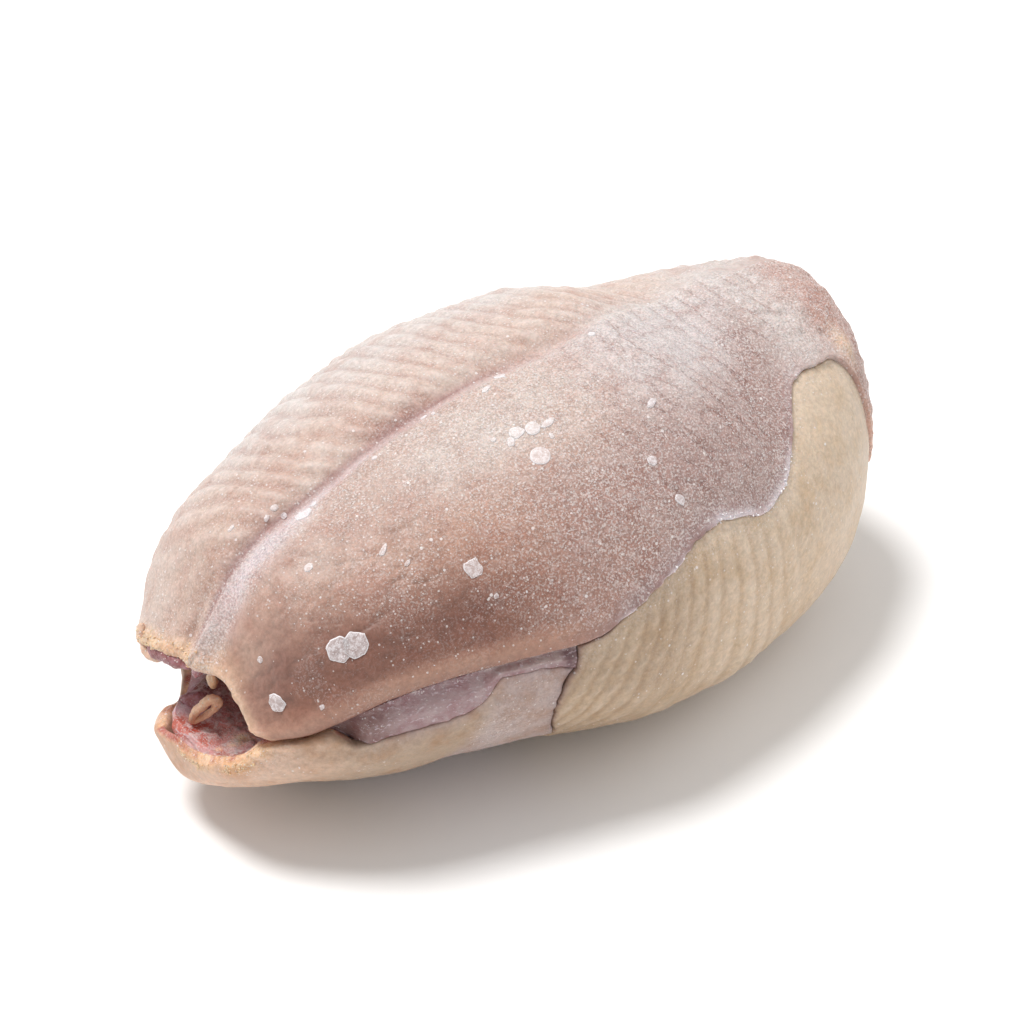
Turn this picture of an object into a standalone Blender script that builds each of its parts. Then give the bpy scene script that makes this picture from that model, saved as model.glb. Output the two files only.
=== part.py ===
"""Raw frozen goose breast on the bone: three skins round a core of meat, open at the cut end.

Metres, +Z up. The breast lies along X with its cut end towards -X. A place on it is given by
`along`, the distance from the tip of the cut end, and by `angle`, in degrees round the body
from the keel line on top, growing down the side towards -Y.
"""

import math

import bmesh
import bpy
import numpy as np
from mathutils import Matrix, Vector

# Overall form. Each pair is (along, value).
LENGTH = 0.261
NOSE_ROUNDING = 0.049
TAIL_ROUNDING = 0.072
HALF_WIDTH = ((0, 0.0345), (0.031, 0.050), (0.058, 0.059), (0.090, 0.069), (0.126, 0.078),
              (0.162, 0.075), (0.198, 0.067), (0.226, 0.061), (LENGTH, 0.053))
TOP = ((0, 0.043), (0.018, 0.068), (0.031, 0.088), (0.058, 0.098), (0.090, 0.108),
       (0.126, 0.112), (0.162, 0.112), (0.198, 0.101), (0.226, 0.105), (0.243, 0.115),
       (LENGTH, 0.128))
WIDEST_LEVEL = ((0, 0.034), (0.031, 0.042), (0.072, 0.046), (0.226, 0.046), (LENGTH, 0.050))
UNDERSIDE = ((0, 0.002), (0.026, 0.009), (0.054, 0.0005), (0.207, -0.002), (0.238, 0.003),
             (LENGTH, 0.016))
# Section roundness: 2 is an ellipse, less is more pointed, more is squarer.
NEAR_LOBE_ROUNDNESS = 2.05
FAR_LOBE_ROUNDNESS = ((0, 1.90), (0.086, 2.20), (0.176, 2.05), (LENGTH, 1.75))
BELLY_ROUNDNESS = ((0, 1.50), (0.046, 1.50), (0.096, 1.75), (0.176, 3.0), (LENGTH, 3.0))

# The furrow over the keel bone: its sideways bend, its depth and its half width.
KEEL_BEND = ((0, 0), (0.146, 0), (0.186, 0.006), (0.221, 0.011), (LENGTH, 0.008))
FURROW_DEPTH = ((0, 0.003), (0.018, 0.004), (0.054, 0.0045), (0.180, 0.0036),
                (0.207, 0.0024), (0.230, 0.0008), (LENGTH, 0))
FURROW_WIDTH = 0.0063

# Edges of the skins, as (along, angle) pairs.
BREAST_NEAR_EDGE = ((0.014, 62), (0.018, 70), (0.026, 75), (0.045, 72.5), (0.100, 75.5),
                    (0.123, 69), (0.155, 61), (0.175, 65), (0.186, 62), (0.197, 52),
                    (0.213, 37.5), (0.229, 39), (0.238, 52), (0.243, 78), (0.251, 104),
                    (LENGTH, 115))
BACK_NEAR_EDGE = ((0, 105), (0.004, 98), (0.009, 85), (0.014, 70), (0.022, 75.5), (0.028, 77.5),
                  (0.035, 85.5), (0.060, 86.5), (0.070, 84), (0.077, 78), (0.088, 79.5),
                  (0.100, 82))
FAR_SEAM = ((0.028, 231), (0.045, 244), (0.070, 252), (LENGTH, 252))
BACK_FAR_RIM = ((0, 238), (0.004, 231), (0.012, 229), (0.020, 223), (0.028, 229))
# Where the front skins meet the flank skin, and how short of the tip the flank skin stops.
BELT = 0.100
SEAM_ANGLES = (82, 252)
STRIP_SHARE = (82 - 75.5) / (252 - 75.5)
FLANK_STOP = 1.5e-5
# The breast skin's front edge, as (angle, along) pairs, and the line where the back skin ends.
BREAST_FRONT = ((-129, 0.028), (-118, 0.023), (-100, 0.018), (-60, 0.013), (-30, 0.0115),
                (0, 0.014), (20, 0.0145), (60, 0.0135), (68, 0.016))
BACK_END = ((80, 0.100), (88, 0.0945), (100, 0.0925), (111, 0.0945), (127, 0.100), (252, 0.100))
# How far the core's cut face reaches forward, round the body.
CORE_FRONT = ((-129, 0.033), (-100, 0.022), (-60, 0.0165), (0, 0.0175), (60, 0.0175),
              (72, 0.0185), (84, 0.014), (97, 0.009), (115, 0.006), (180, 0.005),
              (205, 0.006), (220, 0.013), (231, 0.033))

# The mouth: a hollow in the core behind the cut face, as (along, value) pairs.
MOUTH_END = 0.072
MOUTH_FLOOR = ((0.004, 0.034), (0.010, 0.0295), (0.018, 0.0260), (0.030, 0.0245),
               (0.052, 0.0265), (MOUTH_END, 0.035))
MOUTH_ROOF = ((0.004, 0.046), (0.020, 0.0465), (0.030, 0.046), (0.052, 0.043),
              (MOUTH_END, 0.036))
MOUTH_HALF_WIDTH = ((0.004, 0.007), (0.010, 0.016), (0.020, 0.026), (0.030, 0.029),
                    (0.052, 0.023), (MOUTH_END, 0.006))
MOUTH_LIP = 0.0018

SKIN = 0.0050
GAP = 0.0003
CORE_DEPTH = 0.0058
BAND_DEPTH = 0.0022

# Where the meat shows between the breast skin and the back skin.
BAND_START = 0.036
BAND_EDGE = 1.4
BAND_SLOPE = 0.0012

# A loop of tissue and a knob of fat in the mouth.
LOOP_LOW = Vector((-0.1150, 0.0060, 0.0294))
LOOP_HIGH = Vector((-0.1102, -0.0014, 0.0412))
LOOP_SIDE = Vector((0.80, -0.58, -0.15))
LOOP_HALF_WIDTH = 0.0023
LOOP_TUBE = 0.0014
KNOB_AT = Vector((-0.1081, 0.0044, 0.0426))
KNOB_SIZE = (0.0016, 0.0019, 0.0030)

# Flat ice flakes on the breast skin: (along, angle, long side, short side, turn, lift).
ICE_FLAKES = (
    (0.037, 49, 0.0078, 0.0070, 20, 0.0000),
    (0.0435, 50, 0.0076, 0.0072, 60, 0.0005),
    (0.021, 51, 0.0062, 0.0048, 80, 0.0000),
    (0.079, 46, 0.0070, 0.0058, 110, 0.0001),
    (0.113, 27, 0.0062, 0.0060, 0, 0.0003),
    (0.117, 20, 0.0044, 0.0034, 40, 0.0001),
    (0.113, 16, 0.0040, 0.0034, 150, 0.0001),
    (0.126, 24, 0.0046, 0.0028, 10, 0.0001),
    (0.054, 1, 0.0056, 0.0046, 30, 0.0004),
    (0.126, 1, 0.0042, 0.0034, 70, 0.0003),
    (0.145, 51, 0.0040, 0.0032, 120, 0.0001),
    (0.143, 40, 0.0036, 0.0028, 15, 0.0001),
)
FLAKE_RISE, FLAKE_SINK = 0.0008, 0.0016
FLAKE_SIDES = 8

# Rows along the body, and steps round it on the far side, the near side and the underside.
LIP_ROWS, FRONT_ROWS, REAR_ROWS = 8, 14, 26
BREAST_STEPS = (13, 10)
UNDER_STEPS = 18
MOUTH_ROWS = 7

# Colour as linear red, green, blue, then roughness.
BREAST_COLOUR = ((0.52, 0.37, 0.31), 0.55)
FLANK_COLOUR = ((0.58, 0.46, 0.34), 0.55)
BACK_COLOUR = ((0.56, 0.42, 0.31), 0.55)
MEAT_COLOUR = ((0.33, 0.21, 0.21), 0.45)
LOOP_COLOUR = ((0.50, 0.33, 0.23), 0.45)
FAT_COLOUR = ((0.72, 0.45, 0.20), 0.45)


def through(pairs, at):
    """Smooth curve through a few points that never overshoots between two of them."""
    px, py = np.array(pairs, float).T
    step = np.diff(px)
    slope = np.diff(py) / step
    tangent = np.zeros(len(px))
    tangent[0], tangent[-1] = slope[0], slope[-1]
    for i in range(1, len(px) - 1):
        if slope[i - 1] * slope[i] > 0:
            before, after = 2 * step[i] + step[i - 1], step[i] + 2 * step[i - 1]
            tangent[i] = (before + after) / (before / slope[i - 1] + after / slope[i])
    at = np.asarray(at, float)
    i = np.clip(np.searchsorted(px, at) - 1, 0, len(step) - 1)
    t = np.clip((at - px[i]) / step[i], 0, 1)
    start = py[i] * (1 + 2 * t) * (1 - t) ** 2 + tangent[i] * step[i] * t * (1 - t) ** 2
    end = py[i + 1] * t * t * (3 - 2 * t) + tangent[i + 1] * step[i] * t * t * (t - 1)
    return start + end


def rounding(along):
    """How much a section has shrunk towards either end: 1 in the middle, 0 at both tips."""
    nose = np.clip(1 - along / NOSE_ROUNDING, 0, 1)
    tail = np.clip((along - LENGTH + TAIL_ROUNDING) / TAIL_ROUNDING, 0, 1)
    return (1 - nose ** 2.45) ** (1 / 2.2) * (1 - tail ** 2.4) ** (1 / 2.55)


def half_width(along):
    return through(HALF_WIDTH, along) * rounding(along)


def body(along, angle, depth=0.0):
    """Points of the body, `depth` under its surface."""
    along, angle = np.broadcast_arrays(np.asarray(along, float), np.asarray(angle, float))
    nudge = 0.0005
    ahead = np.clip(along + nudge, 0, LENGTH)
    behind = np.clip(along - nudge, 0, LENGTH)
    slope = (half_width(ahead) - half_width(behind)) / (ahead - behind)
    sideways = depth / np.sqrt(1 + slope ** 2)
    x = along - LENGTH / 2 + slope * sideways
    small = rounding(along)
    middle = through(WIDEST_LEVEL, along)
    half = np.maximum(half_width(along) - sideways, 0)
    rise = np.maximum((through(TOP, along) - middle) * small - sideways, 0)
    fall = np.maximum((middle - through(UNDERSIDE, along)) * small - sideways, 0)
    sine, cosine = np.sin(np.radians(angle)), np.cos(np.radians(angle))
    lobe = np.where(sine > 0, NEAR_LOBE_ROUNDNESS, through(FAR_LOBE_ROUNDNESS, along))
    power = 2 / np.where(cosine > 0, lobe, through(BELLY_ROUNDNESS, along))
    y = -half * np.sign(sine) * np.abs(sine) ** power
    z = middle + np.where(cosine > 0, rise, fall) * np.sign(cosine) * np.abs(cosine) ** power
    z = np.maximum(z, depth)
    hollow = np.exp(-((y - through(KEEL_BEND, along)) / FURROW_WIDTH) ** 2) * (cosine > 0)
    z = z - through(FURROW_DEPTH, along) * small * hollow
    return np.stack([x, y, z], -1)


def keel_angle(along):
    """Angle at which the furrow's lowest line runs."""
    return -np.degrees(through(KEEL_BEND, along) / np.maximum(half_width(along), 0.02))


def edge_gap(edge, along):
    """Half the gap beside a skin's edge as an angle, more where the edge runs across the body."""
    radius = np.maximum(half_width(along), 0.002)
    nudge = 0.0005
    turn = np.radians(through(edge, along + nudge) - through(edge, along - nudge)) * radius
    run = np.hypot(2 * nudge, half_width(np.clip(along + nudge, 0, LENGTH))
                   - half_width(np.clip(along - nudge, 0, LENGTH)))
    return np.degrees(0.6 * GAP * np.hypot(1, turn / run) / radius)


def rows_between(*legs):
    """Rows of distances, evenly spaced along the widest outline in each leg.

    A leg is (start, end, steps), where start and end hold one distance for each column.
    """
    fine = LENGTH * (1 - np.cos(np.linspace(0, math.pi, 2001))) / 2
    run = np.hypot(np.diff(fine), np.diff(half_width(fine)))
    length = np.concatenate([[0], np.cumsum(run)])
    rows = []
    for start, end, steps in legs:
        first, last = np.interp(start, fine, length), np.interp(end, fine, length)
        share = np.linspace(0, 1, steps + 1)[1 if rows else 0:, None]
        rows.extend(np.interp(first + (last - first) * share, length, fine))
    return np.array(rows)


def material(name, colour, roughness):
    finish = bpy.data.materials.new(name)
    finish.use_nodes = True
    shader = finish.node_tree.nodes["Principled BSDF"]
    shader.inputs["Base Color"].default_value = (*colour, 1)
    shader.inputs["Roughness"].default_value = roughness
    shader.inputs["Metallic"].default_value = 0
    return finish


def add_object(name, mesh_builder, look):
    """Turns a bmesh into a smooth-shaded object with its own material."""
    bmesh.ops.remove_doubles(mesh_builder, verts=mesh_builder.verts, dist=2e-6)
    bmesh.ops.dissolve_degenerate(mesh_builder, edges=mesh_builder.edges, dist=1e-6)
    bmesh.ops.recalc_face_normals(mesh_builder, faces=mesh_builder.faces)
    mesh = bpy.data.meshes.new(name)
    mesh_builder.to_mesh(mesh)
    mesh_builder.free()
    if sum(p.normal.dot(p.center - Vector((0, 0, 0.05))) * p.area for p in mesh.polygons) < 0:
        mesh.flip_normals()
    mesh.shade_smooth()
    mesh.set_sharp_from_angle(angle=math.radians(50))
    mesh.materials.append(material(name, *look))
    thing = bpy.data.objects.new(name, mesh)
    bpy.context.scene.collection.objects.link(thing)
    return thing


def quads(builder, rows):
    """Faces between neighbouring rows of vertices."""
    for upper, lower in zip(rows, rows[1:]):
        for i in range(len(upper) - 1):
            builder.faces.new((upper[i], upper[i + 1], lower[i + 1], lower[i]))


def skin_shell(name, along, angle, look):
    """A closed skin over the places in the two grids."""
    builder = bmesh.new()
    layers = [
        [[builder.verts.new(point) for point in row] for row in body(along, angle, depth)]
        for depth in (0.0, SKIN)
    ]
    outer, inner = layers
    quads(builder, outer)
    quads(builder, [row[::-1] for row in inner])
    for edge in (0, -1):
        quads(builder, [outer[edge], inner[edge]])
        quads(builder, [[row[edge] for row in outer], [row[edge] for row in inner]])
    return add_object(name, builder, look)


def upper_sides():
    """Places of the columns over both lobes: -1 is the far seam, 0 the keel, 1 the near edge."""
    far_steps, near_steps = BREAST_STEPS
    return np.concatenate([-np.linspace(1, 0, far_steps + 1)[:-1] ** 1.3,
                           np.linspace(0, 1, near_steps + 1) ** 1.3])


def upper_angles(along, side):
    keel = keel_angle(along)
    far_reach = keel - through(FAR_SEAM, along) + 360
    near_reach = through(BREAST_NEAR_EDGE, along) - keel
    return keel + side * np.where(side < 0, far_reach, near_reach)


def under_angles(along, share):
    """Angles of the columns under the body, from the near edge (share 0) to the far seam."""
    top = through(BREAST_NEAR_EDGE, along)
    rim = np.where(along < FAR_SEAM[0][0], through(BACK_FAR_RIM, along), through(FAR_SEAM, along))
    near_edge = np.where(along < BELT, through(BACK_NEAR_EDGE, along),
                         top + STRIP_SHARE * (rim - top))
    return near_edge + share * (rim - near_edge)


def belt_line(share):
    """Where the back skin meets the flank skin."""
    return through(BACK_END, SEAM_ANGLES[0] + (SEAM_ANGLES[1] - SEAM_ANGLES[0]) * share)


def breast_skin():
    """The pink skin over both lobes, from the cut end round the far end."""
    side = upper_sides()
    front_angle = np.where(side < 0, -side * BREAST_FRONT[0][0], side * BREAST_FRONT[-1][0])
    belt = np.full_like(side, BELT)
    along = rows_between((through(BREAST_FRONT, front_angle), belt, FRONT_ROWS),
                         (belt, np.full_like(side, LENGTH), REAR_ROWS))
    angle = upper_angles(along, side)
    angle[:, 0] += edge_gap(FAR_SEAM, along[:, 0])
    angle[:, -1] -= edge_gap(BREAST_NEAR_EDGE, along[:, -1])
    return skin_shell("breast_skin", along, angle, BREAST_COLOUR)


def back_skin():
    """The cream skin under the front half: it forms the lower lip of the mouth."""
    share = np.linspace(0, 1, UNDER_STEPS + 1)
    lip = BREAST_FRONT[-1][1] + (FAR_SEAM[0][0] - BREAST_FRONT[-1][1]) * share
    along = rows_between((np.zeros_like(share), lip, LIP_ROWS),
                         (lip, belt_line(share), FRONT_ROWS))
    along[-1] -= GAP
    angle = under_angles(along, share)
    angle[:, 0] += edge_gap(BACK_NEAR_EDGE, along[:, 0])
    angle[:, -1] -= edge_gap(FAR_SEAM, along[:, -1])
    return skin_shell("back_skin", along, angle, BACK_COLOUR)


def flank_skin():
    """The cream skin round the rear half, under the breast skin's edge."""
    share = np.linspace(0, 1, UNDER_STEPS + 1)
    start = np.concatenate([[BELT], belt_line(share)])
    along = rows_between((start, np.full_like(start, LENGTH), REAR_ROWS))
    along[0] += GAP
    along[-1] = LENGTH - FLANK_STOP
    top = along[:, :1]
    top = through(BREAST_NEAR_EDGE, top) + edge_gap(BREAST_NEAR_EDGE, top)
    angle = np.concatenate([top, under_angles(along[:, 1:], share)], axis=1)
    angle[:, -1] -= edge_gap(FAR_SEAM, along[:, -1])
    return skin_shell("flank_skin", along, angle, FLANK_COLOUR)


def mouth_wall(along, angle):
    """Points of the hollow behind the cut face."""
    floor, roof = through(MOUTH_FLOOR, along), through(MOUTH_ROOF, along)
    sine, cosine = np.sin(np.radians(angle)), np.cos(np.radians(angle))
    y = -through(MOUTH_HALF_WIDTH, along) * np.sign(sine) * np.abs(sine) ** 0.9
    z = (floor + roof) / 2 + (roof - floor) / 2 * np.sign(cosine) * np.abs(cosine) ** 0.9
    return np.stack([along - LENGTH / 2, y, z], -1)


def core_angles(along, side, share):
    """Angles of the core's columns: over the lobes, beside the band of bare meat, and under."""
    upper = upper_angles(along[:, :len(side)], side)
    under = under_angles(along[:, -len(share):], share)
    band = along[:, len(side):-len(share)]
    low = under_angles(band, 0.0)
    top = through(BREAST_NEAR_EDGE, band)
    inset = np.minimum(BAND_EDGE, 0.3 * (low - top))
    pair = np.where(np.arange(band.shape[1]) == 0, top + inset, low - inset)
    return np.concatenate([upper, pair, under], axis=1)


def core():
    """The meat under the skins, bare in a band on the near side and hollow at the cut end."""
    side, share = upper_sides(), np.linspace(0, 1, UNDER_STEPS + 1)[:-1]
    columns = len(side) + 2 + len(share)
    belt = np.concatenate([np.full(len(side) + 1, BELT), belt_line(share[:1]), belt_line(share)])
    guess = np.full((1, columns), BREAST_FRONT[-1][1])
    front = through(CORE_FRONT, core_angles(guess, side, share)[0])
    along = rows_between((front, belt - BAND_SLOPE, FRONT_ROWS), (belt - BAND_SLOPE, belt, 1),
                         (belt, np.full(columns, LENGTH), REAR_ROWS))
    angle = core_angles(along, side, share)
    depth = np.full_like(angle, CORE_DEPTH)
    band = np.s_[:FRONT_ROWS + 1, len(side):len(side) + 2]
    depth[band] = np.where(along[band] > BAND_START, BAND_DEPTH, CORE_DEPTH)
    outer = body(along, angle, depth)
    ring = outer[0, :, 0] + LENGTH / 2 + MOUTH_LIP
    inward = ring + (MOUTH_END - ring) * np.linspace(0, 1, MOUTH_ROWS + 1)[:, None]
    hollow = mouth_wall(inward, angle[0])
    hollow[-1] = (MOUTH_END + 0.002 - LENGTH / 2, 0, MOUTH_ROOF[-1][1])
    builder = bmesh.new()
    rings = [[builder.verts.new(point) for point in row] for row in (*outer[::-1], *hollow)]
    quads(builder, [ring + ring[:1] for ring in rings])
    return add_object("meat", builder, MEAT_COLOUR)


def tissue_loop():
    """A closed loop of pale tissue that leans in the mouth."""
    middle = (LOOP_LOW + LOOP_HIGH) / 2
    long_half = (LOOP_HIGH - LOOP_LOW) / 2
    side = LOOP_SIDE - LOOP_SIDE.project(long_half)
    side = side.normalized() * LOOP_HALF_WIDTH
    curve = bpy.data.curves.new("tissue_loop", "CURVE")
    curve.dimensions = "3D"
    curve.bevel_depth = LOOP_TUBE
    curve.bevel_resolution = 1
    curve.materials.append(material("tissue_loop", *LOOP_COLOUR))
    steps = 20
    spline = curve.splines.new("POLY")
    spline.points.add(steps - 1)
    spline.use_cyclic_u = True
    for i, point in enumerate(spline.points):
        turn = 2 * math.pi * i / steps
        place = middle + long_half * math.cos(turn) + side * math.sin(turn)
        point.co = (*place, 1)
    thing = bpy.data.objects.new("tissue_loop", curve)
    bpy.context.scene.collection.objects.link(thing)
    return thing


def fat_knob():
    """A drop of fat that hangs under the roof of the mouth."""
    builder = bmesh.new()
    bmesh.ops.create_uvsphere(builder, u_segments=10, v_segments=7, radius=1)
    bmesh.ops.transform(builder, verts=builder.verts,
                        matrix=Matrix.Translation(KNOB_AT) @ Matrix.Diagonal((*KNOB_SIZE, 1)))
    return add_object("fat_knob", builder, FAT_COLOUR)


def flake(place, draw):
    """One flat, uneven crystal that lies on the skin."""
    along, angle, long_side, short_side, turn, lift = place
    here, ahead, round_it = (np.array(body(along + a, angle + b)) for a, b in
                             ((0, 0), (0.004, 0), (0, 4)))
    forward = Vector(ahead - here).normalized()
    up = Vector(round_it - here).cross(forward).normalized()
    if up.z < 0:
        up.negate()
    across = up.cross(forward)
    builder = bmesh.new()
    rings = []
    spread = draw.uniform(0.86, 1.12, FLAKE_SIDES)
    for height, size in ((-FLAKE_SINK, 0.96), (FLAKE_RISE + lift, 1.0)):
        ring = []
        for i in range(FLAKE_SIDES):
            turned = math.radians(turn) + 2 * math.pi * i / FLAKE_SIDES
            reach = spread[i] * size / 2
            local = Vector((long_side * math.cos(turned), short_side * math.sin(turned))) * reach
            point = Vector(here) + forward * local.x + across * local.y + up * height
            ring.append(builder.verts.new(point))
        rings.append(ring)
    builder.faces.new(rings[0])
    builder.faces.new(rings[1])
    quads(builder, [ring + ring[:1] for ring in rings])
    bmesh.ops.recalc_face_normals(builder, faces=builder.faces)
    mesh = bpy.data.meshes.new("flake")
    builder.to_mesh(mesh)
    builder.free()
    return bpy.data.objects.new("flake", mesh)


def fuse_flakes(skin):
    """Joins the ice flakes to the breast skin by one union."""
    draw = np.random.default_rng(4)
    group = bpy.data.collections.new("flakes")
    bpy.context.scene.collection.children.link(group)
    for place in ICE_FLAKES:
        group.objects.link(flake(place, draw))
    union = skin.modifiers.new("flakes", "BOOLEAN")
    union.operation = "UNION"
    union.operand_type = "COLLECTION"
    union.collection = group
    union.solver = "EXACT"
    bpy.context.view_layer.update()
    joined = skin.evaluated_get(bpy.context.evaluated_depsgraph_get())
    mesh = bpy.data.meshes.new_from_object(joined)
    skin.modifiers.clear()
    skin.data = mesh
    for thing in list(group.objects):
        bpy.data.objects.remove(thing)
    bpy.data.collections.remove(group)


def main():
    for thing in list(bpy.data.objects):
        bpy.data.objects.remove(thing)
    core()
    fuse_flakes(breast_skin())
    back_skin()
    flank_skin()
    tissue_loop()
    fat_knob()


main()
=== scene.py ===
"""Looks of a raw frozen goose breast: skins, bare meat, the mouth at the cut end, frost and ice.

Places on the body are given as in the model, in metres: `along` is the distance from the tip of
the cut end, and `angle` is in degrees round the body from the keel line, growing towards the
camera side. On a skin, `x` is the distance from the tip along the body's axis, `arc` is the
distance run from the keel, negative on the far lobe, and from_near, from_far, from_front and
from_belt are the distances run from its edges. Colours are as the photo shows them.
"""

import math

import bmesh
import bpy
import numpy as np
from mathutils import Euler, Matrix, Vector


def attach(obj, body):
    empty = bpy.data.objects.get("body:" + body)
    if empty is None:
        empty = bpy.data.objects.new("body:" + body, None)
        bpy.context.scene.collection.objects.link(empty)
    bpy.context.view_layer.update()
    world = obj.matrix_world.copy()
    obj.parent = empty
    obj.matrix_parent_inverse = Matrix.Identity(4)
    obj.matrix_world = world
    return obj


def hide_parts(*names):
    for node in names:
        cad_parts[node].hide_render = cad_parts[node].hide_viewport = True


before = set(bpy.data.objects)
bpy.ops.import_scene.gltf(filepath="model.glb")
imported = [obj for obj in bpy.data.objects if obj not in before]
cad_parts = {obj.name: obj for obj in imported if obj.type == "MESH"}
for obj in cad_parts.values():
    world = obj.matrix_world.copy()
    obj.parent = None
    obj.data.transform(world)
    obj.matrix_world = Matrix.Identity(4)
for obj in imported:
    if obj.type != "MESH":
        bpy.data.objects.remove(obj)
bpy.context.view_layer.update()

# ---------------------------------------------------------------- form, as in the model

LENGTH = 0.261
NOSE_ROUNDING, NOSE_POWERS = 0.049, (2.45, 2.2)
TAIL_ROUNDING, TAIL_POWERS = 0.072, (2.4, 2.55)
HALF_WIDTH = ((0, 0.0345), (0.031, 0.050), (0.058, 0.059), (0.090, 0.069), (0.126, 0.078),
              (0.162, 0.075), (0.198, 0.067), (0.226, 0.061), (LENGTH, 0.053))
TOP = ((0, 0.043), (0.018, 0.068), (0.031, 0.088), (0.058, 0.098), (0.090, 0.108),
       (0.126, 0.112), (0.162, 0.112), (0.198, 0.101), (0.226, 0.105), (0.243, 0.115),
       (LENGTH, 0.128))
WIDEST_LEVEL = ((0, 0.034), (0.031, 0.042), (0.072, 0.046), (0.226, 0.046), (LENGTH, 0.050))
UNDERSIDE = ((0, 0.002), (0.026, 0.009), (0.054, 0.0005), (0.207, -0.002), (0.238, 0.003),
             (LENGTH, 0.016))
NEAR_LOBE_ROUNDNESS = 2.05
FAR_LOBE_ROUNDNESS = ((0, 1.90), (0.086, 2.20), (0.176, 2.05), (LENGTH, 1.75))
BELLY_ROUNDNESS = ((0, 1.50), (0.046, 1.50), (0.096, 1.75), (0.176, 3.0), (LENGTH, 3.0))
KEEL_BEND = ((0, 0), (0.146, 0), (0.186, 0.006), (0.221, 0.011), (LENGTH, 0.008))
FURROW_DEPTH = ((0, 0.003), (0.018, 0.004), (0.054, 0.0045), (0.180, 0.0036),
                (0.207, 0.0024), (0.230, 0.0008), (LENGTH, 0))
FURROW_WIDTH = 0.0063
BREAST_NEAR_EDGE = ((0.014, 62), (0.018, 70), (0.026, 75), (0.045, 72.5), (0.100, 75.5),
                    (0.123, 69), (0.155, 61), (0.175, 65), (0.186, 62), (0.197, 52),
                    (0.213, 37.5), (0.229, 39), (0.238, 52), (0.243, 78), (0.251, 104),
                    (LENGTH, 115))
BACK_NEAR_EDGE = ((0, 105), (0.004, 98), (0.009, 85), (0.014, 70), (0.022, 75.5), (0.028, 77.5),
                  (0.035, 85.5), (0.060, 86.5), (0.070, 84), (0.077, 78), (0.088, 79.5),
                  (0.100, 82))
FAR_SEAM = ((0.028, 231), (0.045, 244), (0.070, 252), (LENGTH, 252))
BACK_FAR_RIM = ((0, 238), (0.004, 231), (0.012, 229), (0.020, 223), (0.028, 229))
BELT = 0.100
SEAM_ANGLES = (82, 252)
STRIP_SHARE = (82 - 75.5) / (252 - 75.5)
FLANK_STOP = 1.5e-5
BREAST_FRONT = ((-129, 0.028), (-118, 0.023), (-100, 0.018), (-60, 0.013), (-30, 0.0115),
                (0, 0.014), (20, 0.0145), (60, 0.0135), (68, 0.016))
BACK_END = ((80, 0.100), (88, 0.0945), (100, 0.0925), (111, 0.0945), (127, 0.100), (252, 0.100))
CORE_FRONT = ((-129, 0.033), (-100, 0.022), (-60, 0.0165), (0, 0.0175), (60, 0.0175),
              (72, 0.0185), (84, 0.014), (97, 0.009), (115, 0.006), (180, 0.005),
              (205, 0.006), (220, 0.013), (231, 0.033))
MOUTH_END = 0.072
MOUTH_FLOOR = ((0.004, 0.034), (0.010, 0.0295), (0.018, 0.0260), (0.030, 0.0245),
               (0.052, 0.0265), (MOUTH_END, 0.035))
MOUTH_ROOF = ((0.004, 0.046), (0.020, 0.0465), (0.030, 0.046), (0.052, 0.043),
              (MOUTH_END, 0.036))
MOUTH_HALF_WIDTH = ((0.004, 0.007), (0.010, 0.016), (0.020, 0.026), (0.030, 0.029),
                    (0.052, 0.023), (MOUTH_END, 0.006))
MOUTH_LIP = 0.0018
SKIN = 0.0050
GAP = 0.0001
CORE_DEPTH = 0.0058
BAND_START, BAND_END_SLOPE = 0.036, 0.0003
# The step that slopes are taken over, and how the foremost part of the lower lip is blunted.
NUDGE = 0.0005
LIP_FRONT, LIP_REACH = 0.0085 - LENGTH / 2, 0.0046

PITCH = 0.0067
FLOOR_FADE = 0.004
MERGE_DISTANCE, SHORTEST_EDGE = 2e-6, 1e-7
BREAST_ROWS, BREAST_HALF = (((100, 200), 150))
FLANK_STEPS = ((220, 240))
BACK_STEPS = ((240, 60, 120))
CORE_COLUMNS, CORE_ROWS = (((90, 36, 90), (150, 30)))
MOUTH_ROWS, FACE_ROWS = ((90, 40))
FROST_GRAINS = ((4200, 200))


def through(pairs, at):
    """Smooth curve through a few points that never overshoots between two of them."""
    px, py = np.array(pairs, float).T
    step = np.diff(px)
    slope = np.diff(py) / step
    tangent = np.zeros(len(px))
    tangent[0], tangent[-1] = slope[0], slope[-1]
    for i in range(1, len(px) - 1):
        if slope[i - 1] * slope[i] > 0:
            before, after = 2 * step[i] + step[i - 1], step[i] + 2 * step[i - 1]
            tangent[i] = (before + after) / (before / slope[i - 1] + after / slope[i])
    at = np.asarray(at, float)
    i = np.clip(np.searchsorted(px, at) - 1, 0, len(step) - 1)
    t = np.clip((at - px[i]) / step[i], 0, 1)
    start = py[i] * (1 + 2 * t) * (1 - t) ** 2 + tangent[i] * step[i] * t * (1 - t) ** 2
    end = py[i + 1] * t * t * (3 - 2 * t) + tangent[i + 1] * step[i] * t * t * (t - 1)
    return start + end


def rounding(along):
    nose = np.clip(1 - along / NOSE_ROUNDING, 0, 1)
    tail = np.clip((along - LENGTH + TAIL_ROUNDING) / TAIL_ROUNDING, 0, 1)
    return ((1 - nose ** NOSE_POWERS[0]) ** (1 / NOSE_POWERS[1])
            * (1 - tail ** TAIL_POWERS[0]) ** (1 / TAIL_POWERS[1]))


def half_width(along):
    return through(HALF_WIDTH, along) * rounding(along)


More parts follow.
